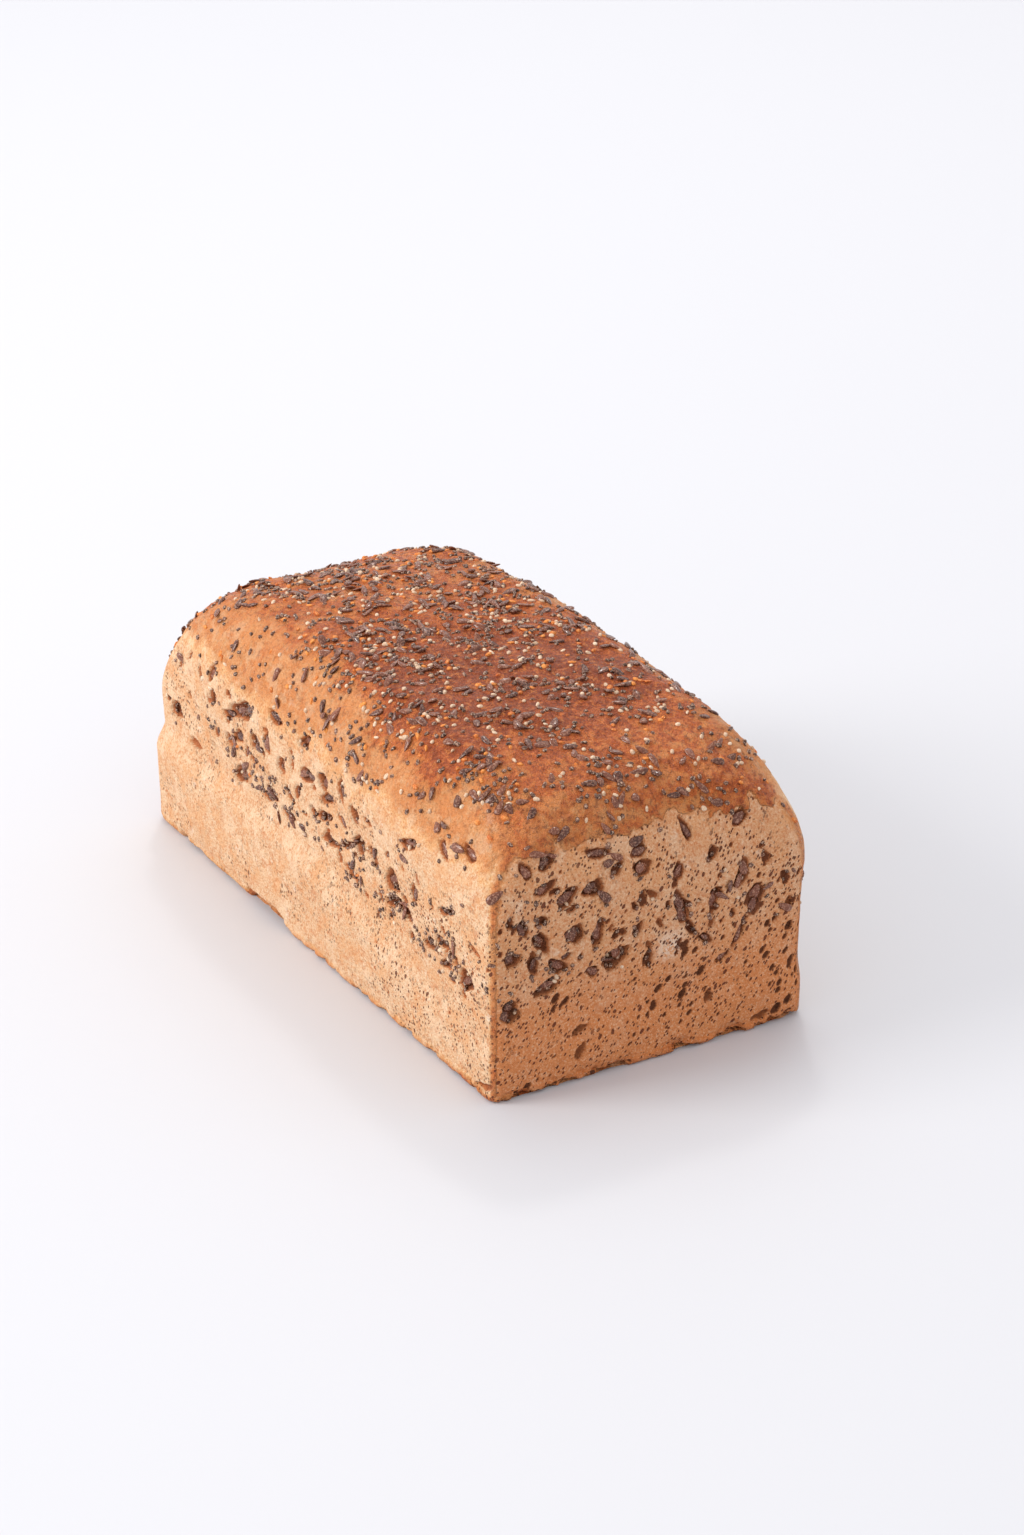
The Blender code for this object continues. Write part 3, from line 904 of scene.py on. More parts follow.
    def opened(self, face: Face, points: Array) -> tuple[Array, Array, Array, Array]:
        """The wall's holes: bowls of depth * sqrt(1 - d^3) at share d of the way to the rim.

        A hole's colour, a browner crumb and painted shade of its hollow, is strongest in its
        middle and weaker towards its rim.

        Args:
            face: the patch.
            points: its places.

        Returns:
            Depth in metres, cover (the hole's tone and painted shade) from 0 to 1, nearness
            from 0 to 1, and the hole's number or -1.
        """
        turned = -1.0 if face in (Face.RIGHT, Face.FAR) else 1.0
        axis = 0 if face in (Face.LEFT, Face.RIGHT) else 1
        across, up = points[..., axis], points[..., 2]
        depth, cover, around = (np.zeros(across.shape) for _ in range(3))
        owner = np.full(across.shape, -1)
        for number, (wall, hole) in enumerate(self.numbered()):
            if wall is not face:
                continue
            reach = self.hole_reach * max(hole.wide, hole.tall) * MM
            beside = np.abs(across - turned * hole.along * MM) < reach
            near = np.nonzero(beside & (np.abs(up - hole.up * MM) < reach))
            phases = np.random.default_rng(number).uniform(0.0, 2.0 * math.pi, len(hole.rim_waves))
            distance = hole.distance(turned * across[near], up[near], phases)
            edge = min(self.hole_edge / hole.wide, self.hole_edge)
            inside = 1.0 - ease(distance, 1.0 - edge, 1.0 + edge)
            bowl = np.sqrt(np.clip(1.0 - (distance / (1.0 + edge)) ** self.bowl_power, 0.0, 1.0))
            # Painted shade: the hole's colour darkens from its rim towards the bowl's middle.
            shaded = inside * hole.cover * (self.rim_shade + (1.0 - self.rim_shade) * bowl)
            owner[near] = np.where(shaded > cover[near], number, owner[near])
            cover[near] = np.maximum(cover[near], shaded)
            depth[near] = np.maximum(depth[near], hole.depth * bowl)
            around[near] = np.maximum(around[near], self.hole_surround.of(distance))
        least, spread = self.floor_mottle
        return depth * (least + spread * self.floor_noise.at(points)), cover, around, owner

    def dressed(self, face: Face, points: Array, normals: Array) -> Patch:
        """The patch with all its relief.

        Args:
            face: the patch.
            points: places on the form.
            normals: its normals there.

        Returns:
            The finished patch.
        """
        x, z = points[..., 0], points[..., 2]
        end = self.endness(normals)
        risen = self.risen(points, end)
        pored = self.pores(points, end, risen)
        height = self.form.swelling(points)
        height = height + risen * self.wrinkle_height * (self.wrinkle.layered(points) - 0.5)
        height = height + risen * self.blister_height * (self.blister.layered(points, 2) - 0.5)
        height = height + (1.0 - risen) * self.skin_height * (self.skin.layered(points) - 0.5)
        height = height + risen * end * self.lip.of(normals[..., 2])
        depth, hole_tone_and_shade, around, owner = self.opened(face, points)
        pits = self.bubbles.cut(points, pored)
        depth = np.maximum(depth, pits * self.pore_depth)
        # Bubble pits get painted shade, darker where they are deeper.
        hole_tone_and_shade = np.maximum(hole_tone_and_shade, self.pit_shade.of(pits))
        crumbs = self.crumbs.layered(points)
        if face is Face.UNDERSIDE:
            moved = points.copy()
            moved[..., 2] += self.base_grain.of(crumbs)
        else:
            bitten = self.crumbling.of(crumbs) * self.crumb_rise.of(z) * self.near_crumbs.of(x)
            moved = points + normals * (height - depth - bitten)[..., None]
        moved[..., 2] = np.maximum(moved[..., 2], 0.0)
        moved[..., 0] += self.form.balance
        bake = self.browning(points, normals, end, risen)
        # The end walls' weight for their browner tone and painted shade, strongest at their foot.
        return Patch(face, moved, normals, bake, hole_tone_and_shade, pored, end * self.end_foot_shade.of(z), around, owner)


# ---- meshes ----------------------------------------------------------------------------


def add_mesh(name: str, points: Array, sizes: Array, corners: Array) -> bpy.types.Object:
    """A new mesh object from whole arrays.

    Args:
        name: the piece's name.
        points: its vertices.
        sizes: how many corners each face has.
        corners: the faces' vertex numbers, one face after another.

    Returns:
        The object, linked to the scene.
    """
    mesh = bpy.data.meshes.new(name)
    mesh.vertices.add(len(points))
    mesh.vertices.foreach_set("co", np.ascontiguousarray(points, np.float32).ravel())
    mesh.loops.add(len(corners))
    mesh.loops.foreach_set("vertex_index", np.ascontiguousarray(corners, np.int32))
    mesh.polygons.add(len(sizes))
    starts = np.concatenate(((0,), np.cumsum(sizes)[:-1])).astype(np.int32)
    mesh.polygons.foreach_set("loop_start", starts)
    mesh.update(calc_edges=True)
    obj = bpy.data.objects.new(name, mesh)
    bpy.context.scene.collection.objects.link(obj)
    return obj


def set_map(mesh: bpy.types.Mesh, places: Array) -> None:
    """Gives a mesh the map that its finish is baked to, one place for each face corner."""
    layer = mesh.uv_layers.new(name=BAKE_MAP)
    layer.uv.foreach_set("vector", np.ascontiguousarray(places, np.float32).ravel())


def set_values(mesh: bpy.types.Mesh, name: str, values: Array) -> None:
    """Stores one number for each vertex under this name."""
    attribute = mesh.attributes.new(name, "FLOAT", "POINT")
    attribute.data.foreach_set("value", np.ascontiguousarray(values, np.float32).ravel())


@dataclass(frozen=True)
class GridMesh:
    """Turns a grid of places into a closed mesh: the grid, and a cone of faces behind it.

    The cone's tip lies inside the loaf, so that neighbouring patches meet along their
    cones' sides and each is closed.
    """

    columns: int
    rows: int
    map_margin: float = 0.02
    tip: tuple[float, float, float] = (0.0, 0.0, 38.0 * MM)

    def parameters(self) -> tuple[Array, Array]:
        """s from -1 to 1 along the columns and t from 0 to 1 up the rows."""
        return np.meshgrid(np.linspace(-1.0, 1.0, self.columns + 1), np.linspace(0.0, 1.0, self.rows + 1))

    def rim(self) -> Array:
        """Numbers of the rim's vertices, going round it anticlockwise from the lower left."""
        index = np.arange((self.rows + 1) * (self.columns + 1)).reshape(self.rows + 1, -1)
        return np.concatenate((index[0, :-1], index[:-1, -1], index[-1, :0:-1], index[:0:-1, 0]))

    def build(self, name: str, points: Array) -> bpy.types.Object:
        """The closed mesh, smooth over the grid and sharp along its rim.

        Args:
            name: the piece's name.
            points: the grid's places.

        Returns:
            The object.
        """
        index = np.arange(points.shape[0] * points.shape[1]).reshape(points.shape[:2])
        around = (index[:-1, :-1], index[:-1, 1:], index[1:, 1:], index[1:, :-1])
        quads = np.stack(around, axis=-1).reshape(-1, 4)
        rim = self.rim()
        after = np.roll(rim, -1)
        fans = np.stack((after, rim, np.full_like(rim, index.size)), axis=-1)
        vertices = np.concatenate((points.reshape(-1, 3), np.array((self.tip,))))
        sizes = np.concatenate((np.full(len(quads), 4), np.full(len(fans), 3)))
        obj = add_mesh(name, vertices, sizes, np.concatenate((quads.ravel(), fans.ravel())))
        set_map(obj.data, self.map_places(quads, fans))
        smooth = np.arange(len(sizes)) < len(quads)
        obj.data.polygons.foreach_set("use_smooth", smooth)
        self.sharpen(obj.data, rim)
        return obj

    def map_places(self, quads: Array, fans: Array) -> Array:
        """The bake map: the grid in the square's middle, and each side's fan in the strip outside it.

        Args:
            quads: the grid's faces.
            fans: the cone's faces.

        Returns:
            A place for each face corner, the grid's first.
        """
        s, t = self.parameters()
        inner = 1.0 - 2.0 * self.map_margin
        flat = np.stack(((s + 1.0) / 2.0, t), axis=-1).reshape(-1, 2) * inner + self.map_margin
        sides = np.repeat(np.arange(4), (self.columns, self.rows, self.columns, self.rows))
        tips = np.array(((0.5, 0.0), (1.0, 0.5), (0.5, 1.0), (0.0, 0.5)))[sides]
        fan_places = np.stack((flat[fans[:, 0]], flat[fans[:, 1]], tips), axis=1)
        return np.concatenate((flat[quads].reshape(-1, 2), fan_places.reshape(-1, 2)))

    def sharpen(self, mesh: bpy.types.Mesh, rim: Array) -> None:
        """Marks the rim's edges sharp, so that the cone doesn't shade the grid.

        An edge is on the rim where both its ends are, one step apart on the way round.

        Args:
            mesh: the closed mesh.
            rim: its rim's vertices in order.
        """
        place = np.full(len(mesh.vertices), -1, np.int64)
        place[rim] = np.arange(len(rim))
        ends = np.empty(len(mesh.edges) * 2, np.int32)
        mesh.edges.foreach_get("vertices", ends)
        first, second = place[ends.reshape(-1, 2)].T
        gap = np.abs(first - second)
        on_rim = (first >= 0) & (second >= 0) & ((gap == 1) | (gap == len(rim) - 1))
        mesh.edges.foreach_set("use_edge_sharp", on_rim)


# ---- shaders ---------------------------------------------------------------------------


class Value:
    """A socket that Python's operators build Math nodes on."""

    def __init__(self, graph: "Graph", socket: bpy.types.NodeSocket) -> None:
        """Wraps one output socket of this graph."""
        self.graph = graph
        self.socket = socket

    def math(self, operation: str, first: "Value | float", second: "Value | float") -> "Value":
        """One Math node.

        Args:
            operation: the node's operation.
            first: its first operand.
            second: its second operand.

        Returns:
            The result.
        """
        return self.graph.node("ShaderNodeMath", {"operation": operation}, {0: first, 1: second})

    def __add__(self, other: "Value | float") -> "Value":
        """self + other."""
        return self.math("ADD", self, other)

    def __radd__(self, other: float) -> "Value":
        """other + self."""
        return self.math("ADD", other, self)

    def __sub__(self, other: "Value | float") -> "Value":
        """self - other."""
        return self.math("SUBTRACT", self, other)

    def __rsub__(self, other: float) -> "Value":
        """other - self."""
        return self.math("SUBTRACT", other, self)

    def __mul__(self, other: "Value | float") -> "Value":
        """self * other."""
        return self.math("MULTIPLY", self, other)

    def __rmul__(self, other: float) -> "Value":
        """other * self."""
        return self.math("MULTIPLY", other, self)

    def eased(self, low: float, high: float) -> "Value":
        """Smooth step from 0 at low to 1 at high, and falling where low is above high.

        Args:
            low: where it is 0.
            high: where it is 1.

        Returns:
            The step.
        """
        settings = {"interpolation_type": "SMOOTHSTEP"}
        inputs = {"Value": self, "From Min": min(low, high), "From Max": max(low, high)}
        step = self.graph.node("ShaderNodeMapRange", settings, inputs)
        return step if low < high else 1.0 - step


class Graph:
    """One material's nodes."""

    def __init__(self, name: str) -> None:
        """Starts a material with a Principled shader and the piece's own coordinates."""
        self.material = bpy.data.materials.new(name)
        self.material.use_nodes = True
        self.tree = self.material.node_tree
        self.shader = self.tree.nodes["Principled BSDF"]
        self.place = self.node("ShaderNodeTexCoord", {}, {}, "Object")

    def node(self, kind: str, settings: dict, inputs: dict, output: str | int = 0) -> Value:
        """Makes any node: its settings first, then its sockets.

        Args:
            kind: the node's type.
            settings: its properties, and under "stops" a colour ramp's stops.
            inputs: values or links, by socket name or number.
            output: the socket that is returned.

        Returns:
            The output socket.
        """
        made = self.tree.nodes.new(kind)
        for name, value in settings.items():
            if name == "stops":
                self.set_stops(made.color_ramp, value)
            else:
                setattr(made, name, value)
        for name, value in inputs.items():
            self.feed(made.inputs[name], value)
        return Value(self, made.outputs[output])

    def set_stops(self, ramp: bpy.types.ColorRamp, stops: tuple) -> None:
        """Sets a colour ramp's stops.

        Args:
            ramp: the ramp.
            stops: each stop's place and colour.
        """
        while len(ramp.elements) < len(stops):
            ramp.elements.new(1.0)
        for element, (place, shade) in zip(ramp.elements, stops):
            element.position = place
            element.color = shade

    def feed(self, socket: bpy.types.NodeSocket, value: "Value | float | tuple") -> None:
        """Links a value to a socket, or sets the number or colour on it.

        Args:
            socket: an input socket.
            value: what it gets.
        """
        if isinstance(value, Value):
            self.tree.links.new(value.socket, socket)
        else:
            socket.default_value = value

    def mix(
        self, share: "Value | float", first: "Value | Colour", second: "Value | Colour", blend: str = "MIX"
    ) -> Value:
        """Two colours mixed.

        Args:
            share: how much of the second.
            first: the colour at share 0.
            second: the colour at share 1.
            blend: the Mix node's way of blending.

        Returns:
            The mixed colour.
        """
        settings = {"data_type": "RGBA", "blend_type": blend, "clamp_factor": True}
        return self.node("ShaderNodeMix", settings, {0: share, 6: first, 7: second}, 2)

    def noise(self, size: float, detail: float = 2.0, roughness: float = 0.5) -> Value:
        """Noise with lumps of this size in metres."""
        inputs = {"Vector": self.place, "Scale": 1.0 / size, "Detail": detail, "Roughness": roughness}
        return self.node("ShaderNodeTexNoise", {}, inputs)

    def cells(self, size: float, output: str, place: Value) -> Value:
        """Scattered cells of this size in metres: distance to the nearest middle, or its random colour."""
        return self.node("ShaderNodeTexVoronoi", {}, {"Vector": place, "Scale": 1.0 / size}, output)

    def values(self, name: str) -> Value:
        """A number stored on the mesh."""
        return self.node("ShaderNodeAttribute", {"attribute_name": name}, {}, "Fac")

    def bump(self, height: Value, depth: float, strength: float = 1.0) -> Value:
        """A normal bumped by this height, 0 to 1, over a depth in metres."""
        return self.node("ShaderNodeBump", {}, {"Height": height, "Distance": depth, "Strength": strength})

    def finish(self, inputs: dict) -> bpy.types.Material:
        """Feeds the Principled shader.

        Args:
            inputs: values or links, by socket name.

        Returns:
            The finished material.
        """
        for name, value in inputs.items():
            self.feed(self.shader.inputs[name], value)
        return self.material


class Zone(Enum):
    """The parts of the skin that have speckles of their own."""

    CRUST = "the browned crust"
    WALL = "the pale walls"
    SIDE = "the side walls, and an end wall where it is high"
    FLOURY = "one floury place on the near end"


@dataclass(frozen=True)
class Speckle:
    """Patches of another colour, which set in where a noise passes from one value to another."""

    zone: Zone
    tint: Colour
    size: float
    detail: float
    roughness: float
    edge: Span
    cover: float


TAN = colour(216, 152, 98)
# Crust specks: golden grains that are partly painted highlights, scorched ones partly painted shade of small
# pits.
GOLDEN_AND_HIGHLIGHT = colour(230, 140, 72)
SCORCHED_AND_PIT_SHADE = colour(104, 46, 28)
BROWN_SPECK = colour(190, 112, 62)
PALE_GRAIN = colour(236, 208, 176)
FLOUR = colour(238, 222, 202)


@dataclass(frozen=True)
class BakedCrust:
    """The skin's finish: pale floury wall, golden shoulder and dark reddish top in one."""

    name: str
    tones: tuple[tuple[float, Colour], ...] = (
        (0.00, colour(216, 176, 137)),
        (0.10, colour(218, 167, 115)),
        (0.28, colour(212, 134, 76)),
        (0.50, colour(200, 106, 52)),
        (0.75, colour(178, 86, 41)),
        (1.00, colour(150, 69, 32)),
    )
    # The end walls' browner crumb and painted shade, multiplied over the pale wall.
    end_tone_and_shade: Colour = colour(245, 191, 151)
    crust_edge: Span = (0.08, 0.40)
    broad: Lumps = (15.0 * MM, 3.0, 0.6)
    broad_edge: Span = (0.38, 0.62)
    broad_stir: float = 0.16
    patchy: Lumps = (3.5 * MM, 4.0, 0.65)
    patchy_edge: Span = (0.42, 0.58)
    patchy_stir: float = 0.30
    stir_edge: Span = (0.10, 0.55)
    speckles: tuple[Speckle, ...] = (
        # Painted highlights and painted pit shade on the crust, partly its own golden and scorched grains.
        Speckle(Zone.CRUST, GOLDEN_AND_HIGHLIGHT, 1.5 * MM, 4.0, 0.72, (0.53, 0.61), 0.52),
        Speckle(Zone.CRUST, SCORCHED_AND_PIT_SHADE, 1.5 * MM, 4.0, 0.72, (0.47, 0.39), 0.52),
        Speckle(Zone.WALL, BROWN_SPECK, 0.7 * MM, 3.0, 0.7, (0.51, 0.60), 0.65),
        Speckle(Zone.WALL, PALE_GRAIN, 0.7 * MM, 3.0, 0.7, (0.46, 0.38), 0.35),
        Speckle(Zone.WALL, BROWN_SPECK, 2.6 * MM, 3.0, 0.65, (0.54, 0.66), 0.46),
        Speckle(Zone.SIDE, TAN, 7.0 * MM, 4.0, 0.65, (0.50, 0.62), 0.42),
        Speckle(Zone.SIDE, PALE_GRAIN, 7.0 * MM, 4.0, 0.65, (0.48, 0.38), 0.34),
        Speckle(Zone.SIDE, FLOUR, 5.0 * MM, 4.0, 0.7, (0.60, 0.72), 0.45),
        Speckle(Zone.FLOURY, FLOUR, 1.2 * MM, 3.0, 0.7, (0.40, 0.56), 0.75),
    )
    end_calm: float = 0.75
    flour_place: tuple[float, float, float] = (103.0 * MM, 5.0 * MM, 35.0 * MM)
    flour_reach: float = 7.0 * MM
    # Pin pores' dark brown: partly the crumb, partly painted shade in the tiny holes.
    pore: Colour = colour(100, 42, 18)
    pore_lean: float = 36.9
    pore_squeeze: float = 0.6
    large_dots: Span = (1.5 * MM, 0.42)
    small_dots: Span = (0.8 * MM, 0.60)
    dot_fade: float = 0.35
    dot_reach: float = 0.42
    dot_edge: float = 0.10
    pore_clusters: float = 6.0 * MM
    pore_edge: Span = (0.12, 0.60)
    pore_cover: float = 0.92
    # Hole rims get a browner crumb, hole floors painted shade, each with a darker end-wall copy that is
    # painted shade.
    rim_tones_and_end_shade: tuple[Colour, Colour] = (colour(182, 100, 50), colour(152, 90, 50))
    rim_edge: Span = (0.10, 0.40)
    hollow_shades: tuple[Colour, Colour] = (colour(104, 50, 24), colour(84, 44, 24))
    hollow_edge: Span = (0.50, 0.95)
    hole_cover: float = 0.85
    fine: Lumps = (0.6 * MM, 3.0, 0.6)
    coarse: Lumps = (1.8 * MM, 3.0, 0.6)
    fine_share: float = 0.45
    wall_grain: float = 0.9
    crust_grain: float = 1.5
    pore_dent: float = 0.9
    grain_depth: float = 1.2 * MM
    wall_roughness: float = 0.74
    crust_gloss: float = 0.42
    uneven_gloss: float = 0.12
    specular: float = 0.30

    def dots(self, graph: Graph, size: float, share: float, place: Value) -> Value:
        """Round dots in this share of the scattered cells, each out to its own random radius."""
        chance = graph.cells(size, "Color", place).eased(1.0 - share, 1.0 + self.dot_fade - share)
        return (chance * self.dot_reach - graph.cells(size, "Distance", place)).eased(0.0, self.dot_edge)

    def open_pores(self, graph: Graph) -> Value:
        """Pin pores that lean along the crumb's grain: dots of two sizes, where the crumb is open.

        Args:
            graph: the material.

        Returns:
            1 in a pore, 0 outside.
        """
        lean = (math.radians(self.pore_lean), 0.0, 0.0)
        turned = graph.node("ShaderNodeMapping", {}, {"Vector": graph.place, "Rotation": lean})
        squeeze = (1.0, 1.0, self.pore_squeeze)
        slanted = graph.node("ShaderNodeMapping", {}, {"Vector": turned, "Scale": squeeze})
        large = self.dots(graph, *self.large_dots, slanted)
        pin = large.math("MAXIMUM", large, self.dots(graph, *self.small_dots, slanted))
        clustered = graph.values("pored") + graph.noise(self.pore_clusters) - 0.5
        return pin * clustered.eased(*self.pore_edge)

    def make(self) -> bpy.types.Material:
        """Builds the nodes.

        The bake value, stirred by noise, picks a tone. Golden grains, partly painted highlights,
        and scorched specks, partly painted shade of small pits, lie on the crust, and specks, pale
        grains and pores on the walls. The pores, the holes and, in part, the end walls' darker
        tone are painted shade.

        Returns:
            The material.
        """
        graph = Graph(self.name)
        bake, hole_tone_and_shade, end_and_shade = (graph.values(name) for name in ("bake", "hole_tone_and_shade", "end_and_shade"))
        crusted = bake.eased(*self.crust_edge)
        wall = 1.0 - crusted
        broad = graph.noise(*self.broad).eased(*self.broad_edge) - 0.5
        patchy = graph.noise(*self.patchy).eased(*self.patchy_edge) - 0.5
        stirring = broad * self.broad_stir + patchy * self.patchy_stir
        stirred = bake + stirring * bake.eased(*self.stir_edge)
        tone = graph.node("ShaderNodeValToRGB", {"stops": self.tones}, {"Fac": stirred})
        # End walls: browner crumb and painted shade, darkest towards their foot.
        tone = graph.mix(end_and_shade * wall, tone, self.end_tone_and_shade, "MULTIPLY")
        away = graph.node(
            "ShaderNodeVectorMath", {"operation": "DISTANCE"}, {0: graph.place, 1: self.flour_place}, 1
        )
        zones = {
            Zone.CRUST: crusted,
            Zone.WALL: wall,
            Zone.SIDE: wall * (1.0 - end_and_shade * self.end_calm),
            Zone.FLOURY: away.eased(self.flour_reach, 0.0) * wall,
        }
        for speckle in self.speckles:
            lumps = graph.noise(speckle.size, speckle.detail, speckle.roughness).eased(*speckle.edge)
            tone = graph.mix(lumps * zones[speckle.zone] * speckle.cover, tone, speckle.tint)
        pin = self.open_pores(graph)
        # Painted shade in the pin pores.
        tone = graph.mix(pin * self.pore_cover, tone, self.pore)
        # Painted shade in the holes: browner rims, dark floors, darker on the end walls.
        for edge, shades in ((self.rim_edge, self.rim_tones_and_end_shade), (self.hollow_edge, self.hollow_shades)):
            tone = graph.mix(hole_tone_and_shade.eased(*edge) * self.hole_cover, tone, graph.mix(end_and_shade, *shades))
        fine = graph.noise(*self.fine)
        rough = fine * self.fine_share + graph.noise(*self.coarse) * (1.0 - self.fine_share)
        height = rough * (self.wall_grain + crusted * self.crust_grain) - pin * self.pore_dent
        return graph.finish({
            "Base Color": tone,
            "Roughness": self.wall_roughness - crusted * self.crust_gloss + fine * self.uneven_gloss,
            "Specular IOR Level": self.specular,
            "Normal": graph.bump(height, self.grain_depth),
        })


@dataclass(frozen=True)
class SeedCoat:
    """A seed's finish: a coat between two shades, clouded and flecked, with a gloss."""

    name: str
    dark: Colour
    light: Colour
    # Pale flecks: partly the seed's own mottling, partly painted highlights.
    fleck_and_highlight: Colour
    fleck_share: float
    roughness: float
    clouds: Lumps = (0.9 * MM, 2.0, 0.6)
    cloud_edge: Span = (0.42, 0.60)
    cloud_share: float = 0.4
    flecks: Lumps = (0.5 * MM, 2.0, 0.6)
    pale_flecks_and_highlights: Span = (0.53, 0.60)
    dark_flecks: Span = (0.46, 0.38)
    uneven_gloss: float = 0.12
    specular: float = 0.40
    fleck_depth: float = 0.04 * MM
    fleck_strength: float = 0.5

    def make(self) -> bpy.types.Material:
        """Builds the nodes: each seed's own shade, clouded and flecked by noise.

        Returns:
            The material.
        """
        graph = Graph(self.name)
        tone = graph.mix(graph.values("shade"), self.dark, self.light)
        cloud = graph.noise(*self.clouds).eased(*self.cloud_edge)
        tone = graph.mix(cloud * self.cloud_share, tone, self.light)
        fleck_and_highlight = graph.noise(*self.flecks)
        # Pale flecks, partly mottling and partly painted highlights.
        tone = graph.mix(fleck_and_highlight.eased(*self.pale_flecks_and_highlights) * self.fleck_share, tone, self.fleck_and_highlight)
        tone = graph.mix(fleck_and_highlight.eased(*self.dark_flecks) * self.fleck_share, tone, self.dark)
        return graph.finish({
            "Base Color": tone,
            "Specular IOR Level": self.specular,
            "Roughness": self.roughness + cloud * self.uneven_gloss,
            "Normal": graph.bump(fleck_and_highlight, self.fleck_depth, self.fleck_strength),
        })


# ---- the loaf --------------------------------------------------------------------------


@dataclass
class LoafSkin:
    """The six patches of the loaf's skin."""

    form: LoafForm = field(default_factory=LoafForm)
    grids: dict[Face, GridMesh] = field(default_factory=lambda: {
        Face.TOP: GridMesh(396, 248),
        Face.LEFT: GridMesh(396, 248),
        Face.RIGHT: GridMesh(396, 248),
        Face.NEAR: GridMesh(330, 296),
        Face.FAR: GridMesh(280, 248),
        Face.UNDERSIDE: GridMesh(220, 110),
    })
    patches: dict[Face, Patch] = field(default_factory=dict)

    def build(self, relief: Relief) -> list[bpy.types.Object]:
        """Builds and dresses every patch, and keeps its places for the sowing of seeds.

        Args:
            relief: what lies on the form.

        Returns:
            The pieces.
        """
        crust = BakedCrust("baked_crust").make()
        pieces = []
        for face, grid in self.grids.items():
            points, normals = self.form.surface(face, *grid.parameters())
            patch = relief.dressed(face, points, normals)
            self.patches[face] = patch
            piece = grid.build(face.value, patch.points)
            for name in ("bake", "hole_tone_and_shade", "pored", "end_and_shade"):
                values = getattr(patch, name).ravel()
                set_values(piece.data, name, np.append(values, 0.0))
            piece.data.materials.append(crust)
            pieces.append(piece)
        return pieces


def face_places(*corners: tuple[Array | float, Array | float]) -> Array:
    """Map places of faces that are alike, from the u and v of each of their corners.

    Args:
        corners: each corner's u and v, of one face after another.

    Returns:
        The places, face by face.
    """
    places = [np.stack(np.broadcast_arrays(u, v), axis=-1) for u, v in corners]
    return np.stack(places, axis=-2).reshape(-1, 2)


@dataclass(frozen=True)
class SeedKind:
    """One kind of seed: its size, how finely it is made, how many there are and its coat."""

    coat: Coat
    slot: str
    finish: SeedCoat
    length: float
    width: float
    thickness: float
    on_top: int
    on_walls: int
    stand: float
    tilt: float
    point: float = 0.12
    sides: int = 7
    rings: int = 4
    size_spread: float = 0.16
    lumps: float = 0.0
    fullness: float = 0.85
    widest_at: float = -0.25

    @property
    def reach(self) -> float:
        """Half the seed's mean size."""
        return (self.length + self.width) / 4

    def unit_mesh(self) -> tuple[Array, Array, Array, Array]:
        """One seed lying along X about the origin.

        A half circle from tip to tip, its radius drawn in towards +X by the point, is
        carried round the long axis on an ellipse of the seed's width and thickness.

        Returns:
            Vertices, face sizes, face corners and the corners' places on its own map.
        """
        fall = math.pi * np.arange(1, self.rings) / self.rings
        turn = 2.0 * math.pi * np.arange(self.sides) / self.sides
        x = np.cos(fall)
        radius = np.sin(fall) ** self.fullness * (1.0 - self.point * (x - self.widest_at))
        body = np.stack((
            np.repeat(x, self.sides) * self.length / 2,
            np.outer(radius, np.cos(turn)).ravel() * self.width / 2,
            np.outer(radius, np.sin(turn)).ravel() * self.thickness / 2,
        ), axis=-1)
        tips = np.array(((self.length / 2, 0.0, 0.0), (-self.length / 2, 0.0, 0.0)))
        index = np.arange(len(body)).reshape(self.rings - 1, self.sides)
        beside = np.roll(index, -1, axis=1)
        quads = np.stack((index[:-1], index[1:], beside[1:], beside[:-1]), axis=-1)
        front = np.stack((index[0], beside[0], np.full(self.sides, len(body))), axis=-1)
        back = np.stack((beside[-1], index[-1], np.full(self.sides, len(body) + 1)), axis=-1)
        u, v = np.arange(self.sides) / self.sides, np.arange(1, self.rings)[:, None] / self.rings
        step = 1.0 / self.sides
        places = (
            face_places((u, v[:-1]), (u, v[1:]), (u + step, v[1:]), (u + step, v[:-1])),
            face_places((u, v[0]), (u + step, v[0]), (u + step / 2, 0.0)),
            face_places((u + step, v[-1]), (u, v[-1]), (u + step / 2, 1.0)),
        )
        sizes = np.repeat((4, 3), (index[1:].size, 2 * self.sides))
        corners = np.concatenate((quads.ravel(), front.ravel(), back.ravel()))
        return np.concatenate((body, tips)), sizes, corners, np.concatenate(places)


@dataclass
class Ground:
    """Every place of the skin where a seed may lie, as flat arrays."""

    points: Array
    normals: Array
    area: Array
    bake: Array
    around: Array
    hole_tone_and_shade: Array
    hole: Array

    @classmethod
    def of(cls, patches: dict[Face, Patch]) -> "Ground":
        """Gathers the patches' places, each with the area of skin that it stands for.

        Args:
            patches: the skin. The underside gets no seeds.

        Returns:
            The ground.
        """
        parts = []
        for face, patch in patches.items():
            if face is not Face.UNDERSIDE:
                down, right = (np.gradient(patch.points, axis=axis) for axis in (0, 1))
                area = np.linalg.norm(np.cross(right, down), axis=-1)
                flat = (area, patch.bake, patch.around, patch.hole_tone_and_shade, patch.hole)
                places = (patch.points.reshape(-1, 3), patch.normals.reshape(-1, 3))
                parts.append((*places, *(values.ravel() for values in flat)))
        return cls(*(np.concatenate(values) for values in zip(*parts)))


@dataclass(frozen=True)
class Lying:
    """How one seed lies: its ground place, long direction, size factors and how far it stands out."""

    index: int
    long: Array
    scale: Array
    stand: float


